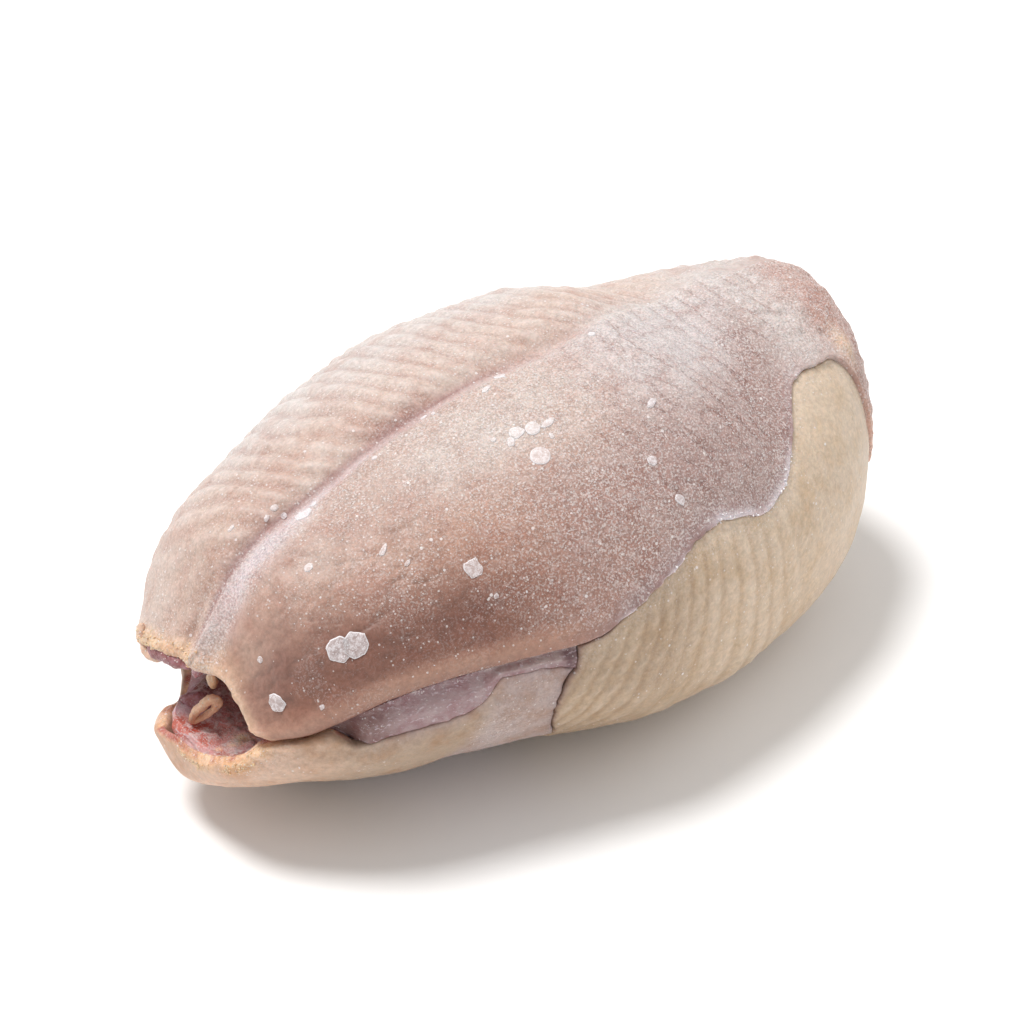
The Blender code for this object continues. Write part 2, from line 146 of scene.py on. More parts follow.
def body(along, angle, depth=0.0):
    """Points of the body, `depth` under its surface."""
    along, angle = np.broadcast_arrays(np.asarray(along, float), np.asarray(angle, float))
    ahead = np.clip(along + NUDGE, 0, LENGTH)
    behind = np.clip(along - NUDGE, 0, LENGTH)
    slope = (half_width(ahead) - half_width(behind)) / (ahead - behind)
    sideways = depth / np.sqrt(1 + slope ** 2)
    x = along - LENGTH / 2 + slope * sideways
    small = rounding(along)
    middle = through(WIDEST_LEVEL, along)
    half = np.maximum(half_width(along) - sideways, 0)
    rise = np.maximum((through(TOP, along) - middle) * small - sideways, 0)
    fall = np.maximum((middle - through(UNDERSIDE, along)) * small - sideways, 0)
    sine, cosine = np.sin(np.radians(angle)), np.cos(np.radians(angle))
    lobe = np.where(sine > 0, NEAR_LOBE_ROUNDNESS, through(FAR_LOBE_ROUNDNESS, along))
    power = 2 / np.where(cosine > 0, lobe, through(BELLY_ROUNDNESS, along))
    y = -half * np.sign(sine) * np.abs(sine) ** power
    z = middle + np.where(cosine > 0, rise, fall) * np.sign(cosine) * np.abs(cosine) ** power
    z = np.maximum(z, depth)
    hollow = np.exp(-((y - through(KEEL_BEND, along)) / FURROW_WIDTH) ** 2) * (cosine > 0)
    z = z - through(FURROW_DEPTH, along) * small * hollow
    return np.stack([x, y, z], -1)


def keel_angle(along):
    return -np.degrees(through(KEEL_BEND, along) / np.maximum(half_width(along), 0.02))


def edge_gap(edge, along):
    """Half the gap beside a skin's edge as an angle, more where the edge runs across the body."""
    radius = np.maximum(half_width(along), 0.002)
    turn = np.radians(through(edge, along + NUDGE) - through(edge, along - NUDGE)) * radius
    run = np.hypot(2 * NUDGE, half_width(np.clip(along + NUDGE, 0, LENGTH))
                   - half_width(np.clip(along - NUDGE, 0, LENGTH)))
    return np.degrees(0.6 * GAP * np.hypot(1, turn / run) / radius)


def rows_between(*legs):
    """Rows of distances, evenly spaced along the widest outline in each (start, end, steps) leg."""
    fine = LENGTH * (1 - np.cos(np.linspace(0, math.pi, 2001))) / 2
    run = np.hypot(np.diff(fine), np.diff(half_width(fine)))
    length = np.concatenate([[0], np.cumsum(run)])
    rows = []
    for start, end, steps in legs:
        first, last = np.interp(start, fine, length), np.interp(end, fine, length)
        share = np.linspace(0, 1, steps + 1)[1 if rows else 0:, None]
        rows.extend(np.interp(first + (last - first) * share, length, fine))
    return np.array(rows)


def waver(place, size, seed):
    """Noise from -1 to 1 along a line."""
    place = np.asarray(place, float)
    return noise(np.stack([place, 0 * place, 0 * place], -1), size, seed)


def under_angles(along, share):
    top = through(BREAST_NEAR_EDGE, along)
    rim = np.where(along < FAR_SEAM[0][0], through(BACK_FAR_RIM, along), through(FAR_SEAM, along))
    ragged = 0.5 * waver(along, 0.0060, 27) + 0.4 * waver(along, 0.0024, 28)
    ragged = ragged * ramp(along, 0.030, 0.036) * ramp(along, BELT, BELT - 0.004)
    near_edge = np.where(along < BELT, through(BACK_NEAR_EDGE, along) + ragged,
                         top + STRIP_SHARE * (rim - top))
    return near_edge + share * (rim - near_edge)


def belt_line(share):
    share = np.asarray(share, float)
    ragged = 0.00045 * waver(share, 0.030, 37) + 0.00040 * waver(share, 0.012, 38)
    ragged = ragged * ramp(share, 0.0, 0.03) * ramp(share, 0.5, 0.3)
    return through(BACK_END, SEAM_ANGLES[0] + (SEAM_ANGLES[1] - SEAM_ANGLES[0]) * share) + ragged


# ---------------------------------------------------------------- noise and masks


def lattice(i, j, k, seed):
    """A random number from -1 to 1 for each corner of a lattice."""
    n = (i * 374761393 + j * 668265263 + k * 1103515245 + seed * 144269504) & 0xFFFFFFFF
    n = ((n ^ (n >> 13)) * 1274126177) & 0xFFFFFFFF
    n = ((n ^ (n >> 15)) * 461845907) & 0xFFFFFFFF
    return ((n ^ (n >> 16)) & 0xFFFF) / 32767.5 - 1


def noise(points, size, seed=0):
    """Smooth noise from -1 to 1 with lumps about `size` wide. Size may differ by axis."""
    p = np.asarray(points) / size
    base = np.floor(p).astype(np.int64)
    f = p - base
    f = f * f * (3 - 2 * f)
    total = np.zeros(p.shape[:-1])
    for dx in (0, 1):
        for dy in (0, 1):
            for dz in (0, 1):
                weight = (np.where(dx, f[..., 0], 1 - f[..., 0])
                          * np.where(dy, f[..., 1], 1 - f[..., 1])
                          * np.where(dz, f[..., 2], 1 - f[..., 2]))
                total += weight * lattice(base[..., 0] + dx, base[..., 1] + dy,
                                          base[..., 2] + dz, seed)
    return total


def fractal(points, size, octaves=3, seed=0):
    """Noise in layers, each half as wide and half as strong as the one before."""
    return sum(noise(points, np.asarray(size) / 2 ** o, seed + o) / 2 ** o for o in range(octaves))


def ramp(value, low, high):
    """0 below low and 1 above high, smooth between. High may be the lower one."""
    t = np.clip((value - low) / (high - low), 0, 1)
    return t * t * (3 - 2 * t)


def peak(value, centre, width):
    """1 at the centre, fading to 0 on both sides of it."""
    return np.exp(-((value - centre) / width) ** 2)


def blob(along, angle, centre_along, centre_angle, size_along, size_angle):
    return np.exp(-((along - centre_along) / size_along) ** 2
                  - ((angle - centre_angle) / size_angle) ** 2)


def wave(phase):
    """Rounded ridges: 1 on each crest, 0 in each crease, creases narrower than crests."""
    t = np.abs((phase % 1) - 0.5) * 2
    return 1 - t ** 2


def swell(phase):
    """Evenly rounded ridges: 1 on each crest and 0 between two crests."""
    return 0.5 - 0.5 * np.cos(2 * math.pi * phase)


def linear(red, green, blue):
    """Colour as the photo shows it, 0 to 255, turned into light amounts."""
    c = np.array([red, green, blue]) / 255
    return np.where(c <= 0.04045, c / 12.92, ((c + 0.055) / 1.055) ** 2.4)


def mix(first, second, share):
    return first + (second - first) * np.asarray(share)[..., None]


# ---------------------------------------------------------------- meshes


def normals_of(points, outward):
    """Unit normals of a grid of points, turned away from the body's axis."""
    along_row = np.gradient(points, axis=1)
    along_column = np.gradient(points, axis=0)
    normal = np.cross(along_row, along_column)
    normal /= np.linalg.norm(normal, axis=-1, keepdims=True) + 1e-12
    side = np.sign((normal * outward).sum(-1).sum())
    return normal * side


def distances(points, axis):
    """Distance run along a grid's rows or columns, from its first line."""
    run = np.linalg.norm(np.diff(points, axis=axis), axis=-1)
    total = np.cumsum(run, axis=axis)
    zero = np.zeros_like(np.take(total, [0], axis=axis))
    return np.concatenate([zero, total], axis=axis)


def rolled(distance, radius):
    """How far a surface has sunk at a distance from an edge rounded to that radius."""
    t = np.clip(1 - distance / radius, 0, 1)
    return radius * (1 - np.sqrt(1 - t ** 2))


def blunted(points):
    """The foremost part of the lower lip is drawn back into a round end."""
    points = points.copy()
    ahead = np.maximum(LIP_FRONT - points[..., 0], 0)
    back = ahead - LIP_REACH * (1 - np.exp(-ahead / LIP_REACH))
    points[..., 0] += back
    points[..., 2] -= 0.7 * back * ramp(points[..., 2], 0.026, 0.034)
    return points


def object_from(name, points, faces, look, slot, fields=None, node=None):
    """A smooth piece that rides on the body, with vertex fields and the CAD node it replaces."""
    mesh = bpy.data.meshes.new(name)
    mesh.from_pydata(points.tolist(), [], faces)
    for key, values in (fields or {}).items():
        values = np.asarray(values, np.float32)
        kind = "FLOAT" if values.ndim == 1 else "FLOAT_VECTOR"
        layer = mesh.attributes.new(key, kind, "POINT")
        layer.data.foreach_set("value" if kind == "FLOAT" else "vector", values.ravel())
    builder = bmesh.new()
    builder.from_mesh(mesh)
    bmesh.ops.remove_doubles(builder, verts=builder.verts, dist=MERGE_DISTANCE)
    bmesh.ops.dissolve_degenerate(builder, edges=builder.edges, dist=SHORTEST_EDGE)
    bmesh.ops.recalc_face_normals(builder, faces=builder.faces)
    builder.to_mesh(mesh)
    builder.free()
    mesh.shade_smooth()
    mesh.materials.append(look)
    piece = bpy.data.objects.new(name, mesh)
    bpy.context.scene.collection.objects.link(piece)
    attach(piece, "root")
    if node:
        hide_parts(node)
    return piece


def vertex_values(source, key, width=3):
    """One property of all vertices, as an array."""
    values = np.empty(len(source) * width, np.float32)
    source.foreach_get(key, values)
    return values.reshape(-1, width) if width > 1 else values


def grid_quads(rows, columns, first=0, wrap=False):
    index = first + np.arange(rows * columns).reshape(rows, columns)
    if wrap:
        index = np.concatenate([index, index[:, :1]], axis=1)
    quads = np.stack([index[:-1, :-1], index[:-1, 1:], index[1:, 1:], index[1:, :-1]], -1)
    return quads.reshape(-1, 4).tolist()


def skin_piece(node, outer, inner, fields, edge_fields, wall_steps=4, coarse=10):
    """A closed skin: a fine outer grid, walls round its rim and a coarse inner grid."""
    rows, columns = outer.shape[:2]
    last_row, last_column = rows - 1, columns - 1
    rim = ([(0, c) for c in range(columns)] + [(r, last_column) for r in range(1, rows)]
           + [(last_row, c) for c in range(last_column - 1, -1, -1)]
           + [(r, 0) for r in range(last_row - 1, 0, -1)])
    rim_row, rim_column = np.array(rim).T
    count, fine = len(rim), rows * columns
    shares = [step / wall_steps for step in range(1, wall_steps + 1)]
    walls = [mix(outer[rim_row, rim_column], inner[rim_row, rim_column], share) for share in shares]
    rings = [rim_row * columns + rim_column]
    rings += [fine + step * count + np.arange(count) for step in range(wall_steps)]
    faces = grid_quads(rows, columns)
    for upper, lower in zip(rings, rings[1:]):
        faces += np.stack([upper, np.roll(upper, -1), np.roll(lower, -1), lower], -1).tolist()

    row_marks, column_marks = list(range(0, rows, coarse)), list(range(0, columns, coarse))
    inside = [(r, c) for r in row_marks[1:-1] for c in column_marks[1:-1]]
    inner_points = np.array([inner[place] for place in inside]).reshape(-1, 3)
    ids = {place: fine + wall_steps * count + i for i, place in enumerate(inside)}
    ids.update(zip(rim, rings[-1].tolist()))

    def leg(start, end):
        """Corner ids from one mark up to the next, with the rim's fine points between."""
        (r0, c0), (r1, c1) = start, end
        on_rim = (r0 == r1 and r0 in (0, last_row)) or (c0 == c1 and c0 in (0, last_column))
        steps = max(abs(r1 - r0), abs(c1 - c0)) if on_rim else 1
        return [ids[r0 + (r1 - r0) * s // steps, c0 + (c1 - c0) * s // steps] for s in range(steps)]

    for r0, r1 in zip(row_marks, row_marks[1:]):
        for c0, c1 in zip(column_marks, column_marks[1:]):
            faces.append(leg((r0, c0), (r0, c1)) + leg((r0, c1), (r1, c1))
                         + leg((r1, c1), (r1, c0)) + leg((r1, c0), (r0, c0)))
    spread = {}
    for key, values in fields.items():
        border = values[rim_row, rim_column]
        edge = edge_fields.get(key, values)[rim_row, rim_column]
        parts = [values.reshape(fine, *values.shape[2:])]
        parts += [border + (edge - border) * min(1, 2 * share) for share in shares]
        parts.append(np.zeros((len(inner_points), *values.shape[2:])) + border.mean(0))
        spread[key] = np.concatenate(parts)
    points = np.concatenate([outer.reshape(-1, 3), *walls, inner_points])
    return object_from(node + "_detail", points, faces, skin_look(node), node, spread, node)


# ---------------------------------------------------------------- materials


class Nodes:
    """A small helper that adds shader nodes and joins them."""

    def __init__(self, name):
        self.material = bpy.data.materials.new(name)
        self.material.use_nodes = True
        self.tree = self.material.node_tree
        self.shader = self.tree.nodes["Principled BSDF"]
        self.place = self.add("ShaderNodeTexCoord").outputs["Object"]

    def add(self, kind, **settings):
        node = self.tree.nodes.new(kind)
        for key, value in settings.items():
            setattr(node, key, value)
        return node

    def join(self, source, target):
        if isinstance(source, bpy.types.NodeSocket):
            self.tree.links.new(source, target)
        elif isinstance(source, (int, float)):
            target.default_value = source
        else:
            target.default_value = (*source, 1)[:len(target.default_value)]

    def put(self, node, **inputs):
        """Joins values or sockets to a node's inputs by name, and gives back its outputs."""
        for key, source in inputs.items():
            self.join(source, node.inputs[key.replace("_", " ")])
        return node.outputs

    def math(self, operation, *values, clamp=False):
        node = self.add("ShaderNodeMath", operation=operation, use_clamp=clamp)
        for value, target in zip(values, node.inputs):
            self.join(value, target)
        return node.outputs[0]

    def times(self, first, second, clamp=False):
        return self.math("MULTIPLY", first, second, clamp=clamp)

    def most(self, top, *others):
        for other in others:
            top = self.math("MAXIMUM", top, other)
        return top

    def field(self, name, output="Fac"):
        return self.add("ShaderNodeAttribute", attribute_name=name).outputs[output]

    def noise(self, size, detail=2.0, roughness=0.5, stretch=None):
        place = self.place
        if stretch is not None:
            mapping = self.add("ShaderNodeMapping")
            place = self.put(mapping, Scale=stretch[0], Rotation=stretch[1], Vector=place)[0]
        return self.put(self.add("ShaderNodeTexNoise"), Scale=1 / size, Detail=detail,
                        Roughness=roughness, Vector=place)[0]

    def ramp(self, value, low, high, to_low=0.0, to_high=1.0):
        node = self.add("ShaderNodeMapRange", interpolation_type="SMOOTHSTEP")
        return self.put(node, Value=value, From_Min=low, From_Max=high, To_Min=to_low,
                        To_Max=to_high)[0]

    def blend(self, share, first, second, kind="MIX"):
        node = self.add("ShaderNodeMix", data_type="RGBA", blend_type=kind)
        for source, key in ((share, "Factor"), (first, 6), (second, 7)):
            self.join(source, node.inputs[key])
        return node.outputs[2]

    def grains(self, size, density, sharp=0.12):
        """Dots about `size` wide in a share of all places that `density` gives."""
        cells = self.put(self.add("ShaderNodeTexVoronoi"), Scale=1 / size, Vector=self.place)
        parts = self.put(self.add("ShaderNodeSeparateColor"), Color=cells["Color"])
        chosen = self.math("LESS_THAN", parts[0], density)
        reach = self.math("MULTIPLY_ADD", parts[1], 0.25, 0.22)
        dot = self.ramp(self.math("SUBTRACT", cells["Distance"], reach), sharp, -sharp)
        return self.times(dot, chosen)

    def bump(self, height, distance, strength=1.0, **normal):
        node = self.add("ShaderNodeBump")
        return self.put(node, Strength=strength, Distance=distance, Height=height, **normal)[0]

    def finished(self, colour, rough, normal, glow, radius, depth, **more):
        """The material with its colour, roughness and relief, and the light under its surface."""
        self.put(self.shader, Base_Color=colour, Roughness=rough, Normal=normal,
                 Subsurface_Weight=glow, Subsurface_Radius=radius, Subsurface_Scale=depth, **more)
        return self.material


FROST_WHITE = linear(232, 224, 222)
MEAT_MOTTLE = linear(225, 190, 196)
MEAT_STREAK = linear(206, 190, 198)
ICE_WHITE = linear(245, 242, 245)
FROST_GREY, FROST_BRIGHT = linear(226, 220, 222), linear(252, 250, 252)
# The skins' looks: mottle, roughness, tint of the creases (partly the skin's own colour, partly
# painted shade) and frost on the crests.
SKIN_LOOKS = {
    "breast_skin": (linear(243, 230, 226), 0.52, linear(206, 172, 166), 0.30),
    "flank_skin": (linear(246, 240, 230), 0.55, linear(204, 184, 158), 0.10),
    "back_skin": (linear(238, 222, 206), 0.52, linear(200, 176, 158), 0.0),
}
# The small pieces' looks: three colours, pale, deep and in the creases, then the width of the
# colour's patches, the roughness, the width and height of the relief, the glow and the frost.
SMALL_LOOKS = {
    # The tissue in the mouth is lighter than its own colour: painted light against the hollow's
    # shade.
    "tissue": (((246, 212, 180), (232, 184, 150), (204, 146, 116)),
               0.003, 0.40, 0.0006, 0.0004, 0.15, 0.15),
    "fat": (((234, 204, 172), (226, 184, 144), (206, 158, 122)),
            0.002, 0.42, 0.0007, 0.0003, 0.25, 0.35),
    "purple_tissue": (((180, 140, 150), (158, 96, 98), (134, 66, 64)),
                      0.003, 0.36, 0.0008, 0.0004, 0.15, 0.22),
    "dark_tissue": (((166, 118, 124), (138, 80, 80), (108, 52, 50)),
                    0.003, 0.36, 0.0008, 0.0004, 0.15, 0.20),
    "rim_skin": (((222, 190, 168), (206, 170, 148), (190, 150, 128)),
                 0.004, 0.45, 0.0008, 0.0003, 0.15, 0.40),
}


def skin_look(name):
    """Skin whose base colour, frost and follicle rows come from the mesh's own fields.

    The field `rows` holds the row phase, the phase along a row, and how strong the pattern is;
    `fold` is 0 in the geometry's creases and 1 on its crests.
    """
    mottle, roughness, crease_tint_and_shade, crest_frost = SKIN_LOOKS[name]
    n = Nodes(name)
    frost, fold = n.field("frost"), n.field("fold")
    fine = n.noise(0.0016, 4.0, 0.65)
    wide = n.ramp(n.noise(0.010, 4.0, 0.62), 0.42, 0.68)
    pepper = n.ramp(n.noise(0.00075, 1.0), 0.32, 0.66, 0.82, 1.14)
    colour = n.blend(wide, n.field("tone", "Vector"), mottle, "MULTIPLY")
    colour = n.blend(1.0, colour, n.ramp(fine, 0.28, 0.74, 0.86, 1.13), "MULTIPLY")
    colour = n.blend(frost, colour, pepper, "MULTIPLY")

    # Scales along the follicle rows, with creases between them.
    rows = n.put(n.add("ShaderNodeSeparateXYZ"), Vector=n.field("rows", "Vector"))
    wobble = n.math("MULTIPLY_ADD", n.noise(0.0045, 3.0, 0.6), 0.5, -0.25)
    flat = n.put(n.add("ShaderNodeCombineXYZ"), X=n.math("ADD", rows[0], wobble),
                 Y=n.times(rows[1], 0.40))
    cells = n.add("ShaderNodeTexVoronoi", feature="DISTANCE_TO_EDGE", voronoi_dimensions="2D")
    edge = n.put(cells, Scale=1.0, Randomness=0.72, Vector=flat[0])["Distance"]
    patchy = n.ramp(n.noise(0.010, 3.0), 0.30, 0.54)
    crease = n.times(n.times(n.ramp(edge, 0.10, 0.0), rows[2], clamp=True), patchy)
    dome = n.times(n.ramp(edge, 0.0, 0.40), rows[2])
    # Painted shade, partly the skin's own darker colour: the scales' creases take the crease tint.
    colour = n.blend(n.times(crease, 0.52), colour, crease_tint_and_shade, "MULTIPLY")

    # Frost: a thin veil, fine salt, two sizes of grains, and more on the crests.
    veil = n.times(n.times(n.ramp(n.noise(0.0060, 6.0, 0.80), 0.40, 0.64), frost), 0.20)
    salt = n.times(n.ramp(n.noise(0.00066, 2.0, 0.65), 0.47, 0.61), frost)
    bright = n.grains(0.00080, n.times(frost, 0.30), 0.09)
    large = n.grains(0.0012, n.times(frost, 0.03), 0.06)
    on_crest = n.times(n.times(n.ramp(fold, 0.45, 1.0), crest_frost),
                       n.ramp(fine, 0.3, 0.7, 0.5, 1.0))
    white = n.most(n.times(salt, 0.52), n.times(bright, 0.60), n.times(large, 0.80), veil, on_crest)
    shade = n.times(n.ramp(fold, 0.55, 0.0), 0.55)
    colour = n.blend(white, n.blend(shade, colour, crease_tint_and_shade, "MULTIPLY"), FROST_WHITE)
    rough = n.math("SUBTRACT", n.ramp(fine, 0.3, 0.7, roughness - 0.08, roughness + 0.08),
                   n.times(white, 0.10))
    pores = n.bump(n.noise(0.0009, 3.0, 0.6), 0.00022, 0.9)
    scales = n.bump(n.math("SUBTRACT", dome, crease), 0.00022, 0.9, Normal=pores)
    return n.finished(colour, rough, n.bump(white, 0.00016, Normal=scales),
                      0.15, (1.0, 0.45, 0.30), 0.0025)


def simple_look(name):
    """Uneven moist tissue in two colours, with a third in its creases and grains of frost."""
    colours, size, roughness, bump_size, bump_height, glow, frost = SMALL_LOOKS[name]
    pale, deep, crease = (linear(*colour) for colour in colours)
    n = Nodes(name)
    grain = n.noise(bump_size, 4.0, 0.6)
    colour = n.blend(n.ramp(n.noise(size, 4.0, 0.6), 0.38, 0.64), pale, deep)
    colour = n.blend(n.ramp(grain, 0.6, 0.35, 0.0, 0.35), colour, crease)
    white = n.times(n.grains(0.0007, frost), 0.7)
    return n.finished(n.blend(white, colour, FROST_WHITE),
                      n.ramp(grain, 0.3, 0.7, roughness - 0.1, roughness + 0.1),
                      n.bump(n.math("ADD", grain, white), bump_height, 0.8),
                      glow, (1.0, 0.40, 0.25), 0.002)


def meat_look():
    """Bare meat: its tone and frost come from the mesh, its fibres run down across the band."""
    n = Nodes("meat")
    frost = n.field("frost")
    fibre = n.noise(0.0012, 3.0, 0.6, ((0.9, 0.22, 1.6), (0.0, -0.7, 0.0)))
    wide = n.ramp(n.noise(0.005, 3.0, 0.6), 0.40, 0.65, 0.0, 0.7)
    colour = n.blend(wide, n.field("tone", "Vector"), MEAT_MOTTLE, "MULTIPLY")
    colour = n.blend(n.times(n.ramp(fibre, 0.56, 0.70), 0.72), colour, MEAT_STREAK)
    small = n.grains(0.0006, n.times(frost, 0.6))
    haze = n.times(n.ramp(n.noise(0.0030, 4.0, 0.7), 0.45, 0.66), frost)
    white = n.most(n.times(small, 0.65), n.times(haze, 0.72))
    wet = n.bump(n.noise(0.0025, 4.0, 0.6), 0.0006, 0.8)
    ribs = n.bump(fibre, 0.0004, 0.8, Normal=wet)
    return n.finished(n.blend(white, colour, FROST_WHITE), n.ramp(fibre, 0.3, 0.7, 0.32, 0.50),
                      n.bump(white, 0.0002, 0.8, Normal=ribs), 0.15, (1.0, 0.35, 0.30), 0.002)


def ice_look():
    """Thin ice: the skin's colour shows through it, milky in patches and white at the rim."""
    n = Nodes("ice")
    cloud = n.noise(0.0011, 5.0, 0.68)
    milky = n.most(n.ramp(cloud, 0.38, 0.66, 0.34, 0.70), n.times(n.grains(0.0005, 0.5), 0.80),
                   n.times(n.field("rim"), 0.88))
    return n.finished(n.blend(milky, n.field("tone", "Vector"), ICE_WHITE),
                      n.ramp(cloud, 0.3, 0.7, 0.12, 0.38), n.bump(cloud, 0.0003, 0.8),
                      0.35, (1.0, 0.9, 0.9), 0.0012, IOR=1.31)


def frost_look():
    n = Nodes("frost")
    grain = n.noise(0.0004, 2.0)
    return n.finished(n.blend(grain, FROST_GREY, FROST_BRIGHT), n.ramp(grain, 0.3, 0.7, 0.25, 0.6),
                      n.bump(grain, 0.0001, 0.6), 0.3, (1.0, 0.9, 0.9), 0.0006)


# ---------------------------------------------------------------- the three skins


def painted(base, layers):
    """Colours mixed one over the other: a base, then (mask, colour) pairs."""
    tone = base + 0 * layers[0][0][..., None]
    for mask, colour in layers:
        tone = mix(tone, colour, np.clip(mask, 0, 1))
    return tone


def skin_places(along, angle, axis_lift=0.0):
    """A skin's grid: points, normals, distance from the tip, and distances run from its first
    column, its last column and its first row."""
    points = body(along, angle)
    axis = np.stack([along - LENGTH / 2, 0 * along, through(WIDEST_LEVEL, along) + axis_lift], -1)
    run = distances(points, 1)
    return (points, normals_of(points, points - axis), points[..., 0] + LENGTH / 2,
            run, run[:, -1:] - run, distances(points, 0))


def raised(points, normal, height):
    """Points moved out along their normals, but not where the body touches the floor."""
    return points + normal * (height * ramp(points[..., 2], 0.0, FLOOR_FADE))[..., None]


def far_phase(x, arc, points):
    """Follicle rows over the far lobe: they lean towards the cut end on their way out."""
    lean = 0.95 * arc - 13 * np.minimum(arc, 0.036) ** 2 - 0.94 * np.maximum(arc - 0.036, 0)
    return ((x + lean) / (1.15 * PITCH) + 0.38 * noise(points, 0.022, 11)
            + 0.18 * noise(points, 0.008, 12))


def near_phase(x, arc, points):
    """Follicle rows over the near lobe: they lean towards the far end on their way out."""
    return (x - 4.0 * arc ** 2) / PITCH + 0.30 * noise(points, 0.022, 13)


def near_edge_of(along):
    """The breast skin's near edge, ragged on a small scale where the flank's skin meets it."""
    along = np.asarray(along, float)
    ragged = 0.45 * waver(along, 0.0052, 17) + 0.30 * waver(along, 0.0021, 18)
    beside_flank = ramp(along, BELT, BELT + 0.006) * ramp(along, 0.236, 0.226)
    return through(BREAST_NEAR_EDGE, along) + ragged * beside_flank


def breast_grid():
    """The breast skin's distances and angles, finer beside the keel, and the keel's angles."""
    even = np.linspace(0, 1, BREAST_HALF + 1)
    spread = even + 0.045 * np.sin(2 * math.pi * even)
    side = np.concatenate([-spread[::-1][:-1], spread])
    front_angle = np.where(side < 0, -side * BREAST_FRONT[0][0], side * BREAST_FRONT[-1][0])
    belt = np.full_like(side, BELT)
    along = rows_between((through(BREAST_FRONT, front_angle), belt, BREAST_ROWS[0]),
                         (belt, np.full_like(side, LENGTH), BREAST_ROWS[1]))
    keel = keel_angle(along)
    far_edge = through(FAR_SEAM, along) - 360 + edge_gap(FAR_SEAM, along)
    near_edge = near_edge_of(along) - edge_gap(BREAST_NEAR_EDGE, along)
    return along, keel + side * np.where(side < 0, keel - far_edge, near_edge - keel), keel


NEAR_TAN = linear(176, 127, 103)
NEAR_BROWN_AND_SHADE = linear(120, 70, 50)
NEAR_WARM = linear(192, 173, 163)
NEAR_GREY = linear(192, 180, 178)
NEAR_MAUVE = linear(154, 122, 114)
EDGE_PURPLE = linear(148, 118, 116)
FAR_PINK = linear(199, 178, 166)
FAR_PALE = linear(203, 194, 189)
FAR_LOW = linear(178, 146, 131)
FAR_TAN = linear(194, 167, 152)
FAR_WARM = linear(182, 149, 133)
FURROW_SIDE = linear(192, 168, 160)
NEAR_PAINTED_SHADE = linear(153, 116, 105)
FURROW_SHADOW_LINE = linear(146, 104, 100)
NEAR_PATCH = linear(150, 94, 68)
FURROW_LILAC = linear(206, 190, 194)
FROST_LILAC = linear(222, 212, 218)
FURROW_WALL_SHADE = linear(156, 108, 94)
LIP_TAN = linear(186, 144, 122)
FAT_YELLOW = linear(226, 190, 152)
RIM_CREAM = linear(226, 192, 162)
END_GREY = linear(195, 183, 178)
END_PINK = linear(174, 134, 121)
END_CREAM = linear(228, 200, 172)
END_ORANGE = linear(216, 172, 150)
TAG_PURPLE = linear(150, 96, 96)
# Scattered grains: how many, and the seed.
RIM_FAT, LIP_FAT, RIM_CRUMBS = (260, 71), (200, 72), (90, 73)
# Short folds on the near lobe: x and arc of both ends, width and depth.
FOLDS = (
    (0.0232, 0.0215, 0.0216, 0.0330, 0.0010, 0.0009),
    (0.0575, 0.0180, 0.0500, 0.0280, 0.0016, 0.0006),
    (0.0440, 0.0330, 0.0470, 0.0430, 0.0014, 0.0004),
    (0.0300, 0.0400, 0.0330, 0.0520, 0.0014, 0.0004),
    (0.0650, 0.0300, 0.0630, 0.0420, 0.0018, 0.0005),
    (0.0400, 0.0120, 0.0360, 0.0230, 0.0018, 0.0005),
    (0.2190, 0.0258, 0.2255, 0.0294, 0.0013, 0.0013),
    (0.2310, 0.0330, 0.2370, 0.0440, 0.0014, 0.0009),
)


def folds(x, arc):
    """Depth of the short folds on the near lobe."""
    depth = np.zeros_like(x)
    for x0, arc0, x1, arc1, width, deep in FOLDS:
        run = (x1 - x0) ** 2 + (arc1 - arc0) ** 2
        t = np.clip(((x - x0) * (x1 - x0) + (arc - arc0) * (arc1 - arc0)) / run, 0, 1)
        off = np.hypot(x - x0 - t * (x1 - x0), arc - arc0 - t * (arc1 - arc0))
        depth = np.maximum(depth, deep * peak(off, 0, width) * (0.4 + 0.6 * np.sin(math.pi * t)))
    return depth


def scattered(outer, normal, weight, amount, seed):
    """Places and normals of random points of a skin, chosen by weight."""
    draw = np.random.default_rng(seed)
    chosen = draw.choice(weight.size, size=amount, p=(weight / weight.sum()).ravel())
    return outer.reshape(-1, 3)[chosen], normal.reshape(-1, 3)[chosen]


